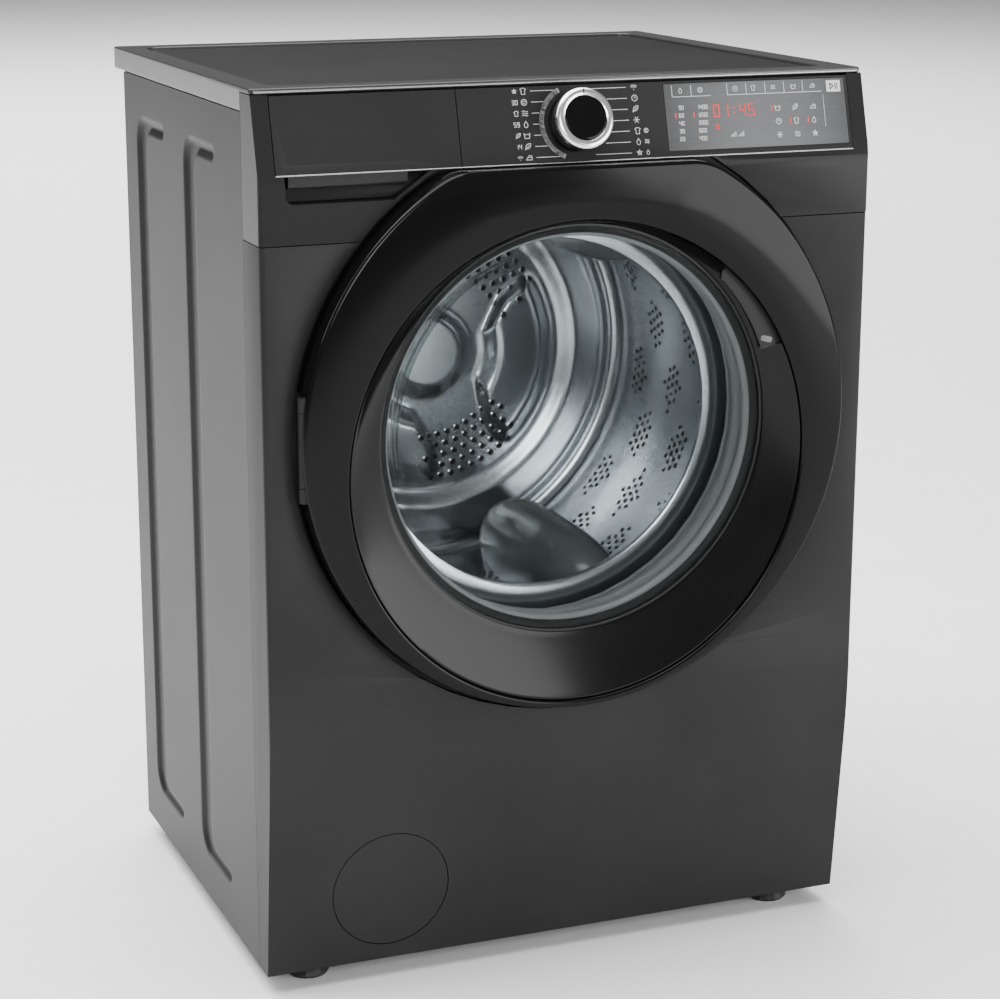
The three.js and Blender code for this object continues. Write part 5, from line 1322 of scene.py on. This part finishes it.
for x, s in [(202.0, 41.4), (220.4, 28.8), (239.0, 28.8)]:
    red_ink.draw([(x, s - 2.4), (x, s + 2.4)], 1.0)
white_ink.draw([(257, 22), (257, 52)], 0.3)
white_ink.become("display_marks", white_mark, "cabinet", "silver_panel")
red_ink.become("display_lights", red_mark, "cabinet", "silver_panel")

key = [(261.5, 54.4), (276.0, 54.4), (276.0, 65.0), (261.5, 65.0)]
key_levels = [(1.0, 0.0), (1.0, 0.2), (0.97, 0.28)]
key_mid = np.mean(key, axis=0)
key_rings = [
    np.array([on_panel(*(key_mid + (np.array(p) - key_mid) * k), lift) for p in key])
    for k, lift in key_levels
]
loft("start_key", key_rings, white_mark, "cabinet", slot="silver_panel", crisp=20)
ink_dark.draw([(265.2, 56.9), (265.2, 62.5), (268.6, 59.7)], 0.9, closed=True)
for x in (270.8, 272.8):
    ink_dark.draw([(x, 56.9), (x, 62.5)], 0.9)
ink_dark.become("start_key_sign", pocket_black, "cabinet", "silver_panel")
print("display marks drawn")

# %% [markdown]
# ### The programme knob
# The knob is made as if turned on a lathe: a black skirt, a bright ring at its front and a dark cap
# that dips slightly. Fine grooves round the skirt give the fingers grip. They are teeth in the
# skirt's outline, and not a pattern in its paint.

# %% The knob


def knob_ring(radius, out, steps=180, teeth=0.0):
    """A circle about the knob's axis, a distance out from the panel."""
    turn = np.linspace(0, 2 * np.pi, steps, endpoint=False)
    r = radius + teeth * (np.arange(steps) % 3 == 0)
    across, up = KNOB_X + r * np.cos(turn), KNOB_S + r * np.sin(turn)
    return np.array([on_panel(x, s, out) for x, s in zip(across, up)])


skirt = [(4.0, 0.8), (25.6, 0.8), (26.6, 1.6)]
skirt_rings = [knob_ring(r, d) for r, d in skirt]
skirt_rings += [knob_ring(26.9, d, teeth=-0.55) for d in (2.6, 17.0)]
cap = [(26.6, 18.0), (25.0, 18.6), (20.2, 18.6), (19.9, 19.2), (19.9, 24.6)]
cap += [(19.6, 25.3), (18.8, 25.6), (14.0, 25.1), (8.0, 24.8), (2.0, 24.7)]
skirt_rings += [knob_ring(r, d) for r, d in cap]
loft(
    "programme_knob_grip", skirt_rings, door_black, "programme_knob", slot="black_gloss",
    stands_for=["knob"], crisp=40,
)
ring_line = [(20.3, 19.4), (27.2, 19.2), (27.9, 19.8), (28.0, 22.4), (27.4, 24.2), (26.0, 25.4), (24.0, 25.9)]
ring_line += [(21.6, 25.8), (20.5, 25.3), (20.2, 24.6)]
loft(
    "programme_knob_ring",
    [knob_ring(r, d) for r, d in ring_line],
    chrome,
    "programme_knob",
    ring=True,
    slot="chrome_trim",
    stands_for=["knob_ring"],
    crisp=40,
)
pointer = Print(25.75)
pointer.draw([(KNOB_X, KNOB_S + 22.2), (KNOB_X, KNOB_S + 26.0)], 1.3)
pointer.become("knob_pointer", pocket_black, "programme_knob", "black_gloss")
print("knob built")

# %% [markdown]
# ## Side panels
# Each side is one pressed sheet. Two long channels stiffen it, and each channel ends in a foot that
# points forward. A press can't make sharp steps, so the sheet slopes into the channel over a few
# millimetres. The slope is worked out from the distance to the channel's outline.

# %% The channels' outline
BACK = 229.0
RIB_SHARES, RIB_W, RIB_FOOT, RIB_REACH, RIB_BEND = (0.52, 0.896), 39.0, 14.0, 62.0, 28.0
RIB_LOW, RIB_HIGH, RIB_DEPTH = 66.0, HEIGHT - 62.0, 3.9


def channel_outline(rear):
    tip, end, inner = RIB_FOOT / 2, rear - RIB_W - RIB_REACH, RIB_BEND - RIB_FOOT
    front = rear - RIB_W
    return np.vstack(
        [
            arc(end, RIB_LOW + tip, tip, 90, 270, 12),
            arc(rear - RIB_BEND, RIB_LOW + RIB_BEND, RIB_BEND, 270, 360, 14),
            arc(rear - RIB_BEND, RIB_HIGH - RIB_BEND, RIB_BEND, 0, 90, 14),
            arc(end, RIB_HIGH - tip, tip, 90, 270, 12),
            arc(front - inner, RIB_HIGH - RIB_FOOT - inner, inner, 90, 0, 10),
            arc(front - inner, RIB_LOW + RIB_FOOT + inner, inner, 0, -90, 10),
        ]
    )


def depth_inside(points, outline):
    """Distance inside a closed outline; zero outside it."""
    a, b = outline, np.roll(outline, -1, 0)
    near = np.full(len(points), 1e9)
    inside = np.zeros(len(points), bool)
    for (ax, ay), (bx, by) in zip(a, b):
        d = np.array([bx - ax, by - ay])
        t = np.clip(((points - [ax, ay]) @ d) / max(d @ d, 1e-9), 0, 1)
        near = np.minimum(near, np.hypot(points[:, 0] - ax - t * d[0], points[:, 1] - ay - t * d[1]))
        if ay != by:
            cross = ((ay > points[:, 1]) != (by > points[:, 1])) & (
                points[:, 0] < (bx - ax) * (points[:, 1] - ay) / (by - ay) + ax
            )
            inside ^= cross
    return np.where(inside, near, 0.0)


rib_outlines = [channel_outline(FRONT + share * (BACK - FRONT)) for share in RIB_SHARES]
print("channel rear edges at", [round(o[:, 0].max(), 1) for o in rib_outlines])

# %% [markdown]
# The sheet is a grid that is fine across the channels and near their ends, and coarse where nothing
# happens. A second grid 1.2 mm behind it, joined round the border, makes it a real sheet. The folded
# edges and the small shelf that carries a spring are boxes in the same piece.

# %% The pressed sheets
PANEL_Y0, PANEL_Y1, PANEL_Z0, PANEL_Z1 = -198.0, 227.1, 20.4, 827.6


def grid_shell(front, back, rows, columns):
    """Two grids of the same size joined round their border."""
    count = rows * columns
    faces = []
    for i in range(rows - 1):
        for j in range(columns - 1):
            a = i * columns + j
            faces += [
                (a, a + 1, a + columns + 1, a + columns),
                (count + a + columns, count + a + columns + 1, count + a + 1, count + a),
            ]
    edge = [j for j in range(columns)] + [i * columns + columns - 1 for i in range(1, rows)]
    edge += [(rows - 1) * columns + j for j in range(columns - 2, -1, -1)]
    edge += [i * columns for i in range(rows - 2, 0, -1)]
    faces += [(a, count + a, count + b, b) for a, b in zip(edge, edge[1:] + edge[:1])]
    return np.vstack([front, back]), faces


def add_box(points, faces, *limits):
    first = len(points)
    return np.vstack([points, box_points(*limits)]), faces + [tuple(first + k for k in f) for f in BOX_FACES]


ys = np.linspace(PANEL_Y0, PANEL_Y1, 175)
LOWER_ROWS, MIDDLE_ROWS = np.linspace(PANEL_Z0, 150, 54), np.linspace(170, 700, 22)
zs = np.concatenate([LOWER_ROWS, MIDDLE_ROWS, np.linspace(715, PANEL_Z1, 47)])
flat = np.array([(y, z) for z in zs for y in ys])
press = sum(ease(depth_inside(flat, outline), 0.3, 5.6) for outline in rib_outlines) * RIB_DEPTH
for side, label in ((-1, "left"), (1, "right")):
    front = np.stack([side * (SIDE - press), flat[:, 0], flat[:, 1]], 1)
    back = front - np.array([side * 1.2, 0, 0])
    points, faces = grid_shell(front, back, len(zs), len(ys))
    inner, fold = side * (SIDE - 1.2), side * (SIDE - 18)
    for y in (PANEL_Y0, PANEL_Y1 - 1.4):
        points, faces = add_box(points, faces, *sorted((inner, fold)), y, y + 1.4, PANEL_Z0, PANEL_Z1)
    for z in (PANEL_Z0, PANEL_Z1 - 1.4):
        points, faces = add_box(points, faces, *sorted((inner, fold)), PANEL_Y0 + 2, PANEL_Y1 - 2, z, z + 1.4)
    points, faces = add_box(points, faces, *sorted((inner, side * 248)), 51.0, 79.0, 804.0, 807.0)
    made = piece(
        f"side_sheet_{label}",
        points,
        faces,
        side_paint,
        "cabinet",
        slot="graphite_paint",
        stands_for=[f"side_panel_{label}"],
        crisp=50,
    )
    print(made.name, "faces:", len(made.data.polygons))

# %% [markdown]
# ## The back
# The back is a bare zinc-coated sheet, screwed on round its edges. A cover closes the opening that
# gives reach to the belt. The screws repeat, so a Geometry Nodes tree puts one on each point, turned
# by a random amount with a fixed seed, because real screws never line up.

# %% Screws on the back


def screw_head():
    """One pan-head screw with a cross recess, facing backwards (+Y)."""
    levels = [(4.2, 0.0), (4.1, 1.0), (3.2, 1.9), (1.9, 2.2)]
    n = 12
    turn = np.linspace(0, 2 * np.pi, n, endpoint=False)
    verts = [(r * math.cos(a), h, r * math.sin(a)) for r, h in levels for a in turn]
    faces = loft_faces(len(levels), n)
    first = len(verts)
    star = [(1.7, 0), (0.5, 0.5), (0, 1.7), (-0.5, 0.5), (-1.7, 0), (-0.5, -0.5), (0, -1.7), (0.5, -0.5)]
    verts += [(x, 2.2, z) for x, z in star] + [(x * 0.8, 1.1, z * 0.8) for x, z in star]
    faces += [(first + k, first + (k + 1) % 8, first + 8 + (k + 1) % 8, first + 8 + k) for k in range(8)]
    faces.append(tuple(first + 8 + k for k in range(8)))
    rim = first - n
    for k in range(n):
        a = turn[k]
        near = int(round(a / (2 * np.pi) * 8)) % 8
        after = int(round(turn[(k + 1) % n] / (2 * np.pi) * 8 + (8 if k == n - 1 else 0))) % 8
        edge = (rim + k, rim + (k + 1) % n)
        faces.append((*edge, first + after, first + near) if near != after else (*edge, first + near))
    faces.append(tuple(range(n)))
    mesh = bpy.data.meshes.new("screw_head")
    mesh.from_pydata([tuple(c * MM for c in v) for v in verts], [], faces)
    work = bmesh.new()
    work.from_mesh(mesh)
    bmesh.ops.recalc_face_normals(work, faces=work.faces)
    work.to_mesh(mesh)
    work.free()
    obj = bpy.data.objects.new("screw_head", mesh)
    return obj


def scatter_tree(name, model, material):
    """A tree that puts a model on each point, turned at random about the depth axis."""
    tree = bpy.data.node_groups.new(name, "GeometryNodeTree")
    tree.interface.new_socket("Geometry", in_out="INPUT", socket_type="NodeSocketGeometry")
    tree.interface.new_socket("Most turn", in_out="INPUT", socket_type="NodeSocketFloat")
    tree.interface.new_socket("Geometry", in_out="OUTPUT", socket_type="NodeSocketGeometry")
    new, link = tree.nodes.new, tree.links.new
    given, result = new("NodeGroupInput"), new("NodeGroupOutput")
    source = new("GeometryNodeObjectInfo")
    source.inputs["Object"].default_value = model
    chance = new("FunctionNodeRandomValue")
    chance.inputs["Seed"].default_value = 7
    angle = new("ShaderNodeCombineXYZ")
    spread = new("GeometryNodeInstanceOnPoints")
    real, painted = new("GeometryNodeRealizeInstances"), new("GeometryNodeSetMaterial")
    painted.inputs["Material"].default_value = material
    scaled = new("ShaderNodeMath")
    scaled.operation = "MULTIPLY"
    link(chance.outputs["Value"], scaled.inputs[0])
    link(given.outputs["Most turn"], scaled.inputs[1])
    link(scaled.outputs[0], angle.inputs["Y"])
    link(given.outputs["Geometry"], spread.inputs["Points"])
    link(source.outputs["Geometry"], spread.inputs["Instance"])
    link(angle.outputs[0], spread.inputs["Rotation"])
    link(spread.outputs[0], real.inputs[0])
    link(real.outputs[0], painted.inputs[0])
    link(painted.outputs[0], result.inputs[0])
    return tree


panel_screws = [(x, BACK + 0.1, z) for x in (-272, 272) for z in np.linspace(60, 790, 7)]
panel_screws += [(x, BACK + 0.1, z) for x in (-150, 0, 150) for z in (36, 812)]
head = screw_head()
grown(
    "rear_screws", panel_screws, scatter_tree("screws", head, steel_rod), "cabinet", "zinc_steel", steel_rod,
    crisp=30, **{"Most turn": 3.0},
)
print("screws on the back:", len(panel_screws))

# %% [markdown]
# Vents are pressed slots, each with a raised lip above it, as a press leaves. The dark opening is painted
# shade: a thin black plate on the back sheet.

# %% Vents


def vent_shade(x, z, wide=46.0, high=5.0):
    """One slot's painted shade: a thin dark plate just proud of the back, closed as a shell."""
    slot = rounded_rect(x - wide / 2, x + wide / 2, z - high / 2, z + high / 2, high / 2 - 0.1, 6)
    return [standing(slot, BACK + 0.05), standing(slot, BACK + 0.35)]


def lip(x, z, wide=52.0, high=10.0, rise=2.6):
    base = rounded_rect(x - wide / 2, x + wide / 2, z - high / 2, z + high / 2, high / 2 - 0.1, 6)
    mid = np.array([x, z])
    levels = [(1.0, 0.0), (0.985, 0.9), (0.95, 1.9), (0.88, rise)]
    return [standing((base - mid) * [k, k**3] + mid + [0, 1.2 * h], BACK + 0.1 + h) for k, h in levels]


def several(name, shells, material, slot, crisp=40):
    """One piece made of many closed lofts."""
    points, faces, first = [], [], 0
    for rings in shells:
        faces += loft_faces(len(rings), len(rings[0]), ends=True, first=first)
        points += rings
        first += len(rings) * len(rings[0])
    return piece(name, np.vstack(points), faces, material, "cabinet", slot=slot, crisp=crisp)


vent_places = [(x, z) for x in (-215, -155, 155, 215) for z in (110, 128, 146, 164, 182)]
several("rear_vent_lips", [lip(x, z + 4.5) for x, z in vent_places], zinc, "zinc_steel")
# Painted shade: the slots are black plates standing for the dark inside each opening.
several("rear_vent_slots", [vent_shade(x, z) for x, z in vent_places], pocket_black, "zinc_steel")
print("vents:", len(vent_places))

# %% [markdown]
# ## Springs and hose
# The tub hangs on two springs and drains through a rubber hose. One end of each belongs to the
# cabinet and the other to the tub. A real spring stretches and a hose gives; here each is a fixed
# copy of its CAD node on no body, a rigid piece that would cut into the tub as it moves.

# %% Springs and hose


def between(node, material):
    """A merged copy of a CAD node, fixed in place and riding on no body."""
    soft = refined(node, material, 0.0, crisp=60, rides=False)
    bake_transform(soft)
    return soft


for side_name in ("left", "right"):
    between(f"spring_{side_name}", steel_rod)
between("sump_hose", dark_rubber)

# %% [markdown]
# ## Panels, frame and worktop
# These keep their exact CAD shapes. A merged copy of each gets softly rounded edges, because pressed
# steel and moulded plastic never have knife edges, and it is the rounded edge that catches the light.

# %% Rounded copies of the cabinet's outer parts
for node, mat, width in [
    ("front_panel", graphite, 0.5),
    ("upper_frame", frame_grey, 0.8),
    ("worktop_frame", rim_dark, 2.1),
    ("worktop_panel", top_dark, 0.6),
    ("drawer_front", fascia_black, 0.5),
    ("fascia", fascia_black, 0.5),
    ("filter_cover", graphite, 0.5),
    ("filter_cap", shell_black, 0.6),
    ("filter_surround", shell_black, 0.5),
    ("back_panel", zinc, 0.4),
    ("rear_cover", zinc, 0.8),
    ("base_tray", shell_black, 0.5),
    ("detergent_tray", pale, 0.4),
    ("inlet_valve", pale, 0.5),
    ("drain_spigot", shell_black, 0.5),
    ("cord_gland", shell_black, 0.5),
]:
    refined(node, mat, width)

# %% [markdown]
# Two fine bright strips run across the front: one under the worktop's lip and one under the panel.
# Their bright colour is a painted highlight of the rounded edges there; each is a slim half-round strip that
# stands less than a millimetre proud.
# Each is a slim half-round strip that stands less than a millimetre proud.

# %% Painted highlight strips
# Painted highlight: a light metallic colour for the bright lines along the front's rounded edges.
highlight_strip_finish = finish("bright_trim", (0.34, 0.34, 0.345), 0.25, 0.8, 1400, 0.004, 0.05, 0.05)


def highlight_strip(name, low, high, lift, x0=-283.4, x1=283.4):
    turn = np.linspace(0, np.pi, 7)
    mid, half = (low + high) / 2, (high - low) / 2
    section = [(mid - half * math.cos(a), lift + 0.75 * math.sin(a)) for a in turn]
    section = [(section[0][0], lift - 0.8), *section, (section[-1][0], lift - 0.8)]
    rings = [np.array([on_panel(x, s, d) for s, d in section]) for x in (x0, x1)]
    return loft(name, rings, highlight_strip_finish, "cabinet", slot="graphite_plastic", crisp=50)


highlight_strip("trim_under_panel", -0.75, 0.62, 0.0)
highlight_strip("trim_under_worktop", 72.6, 74.6, 0.05, -296.0, 296.0)
print("highlight_strips: 2")
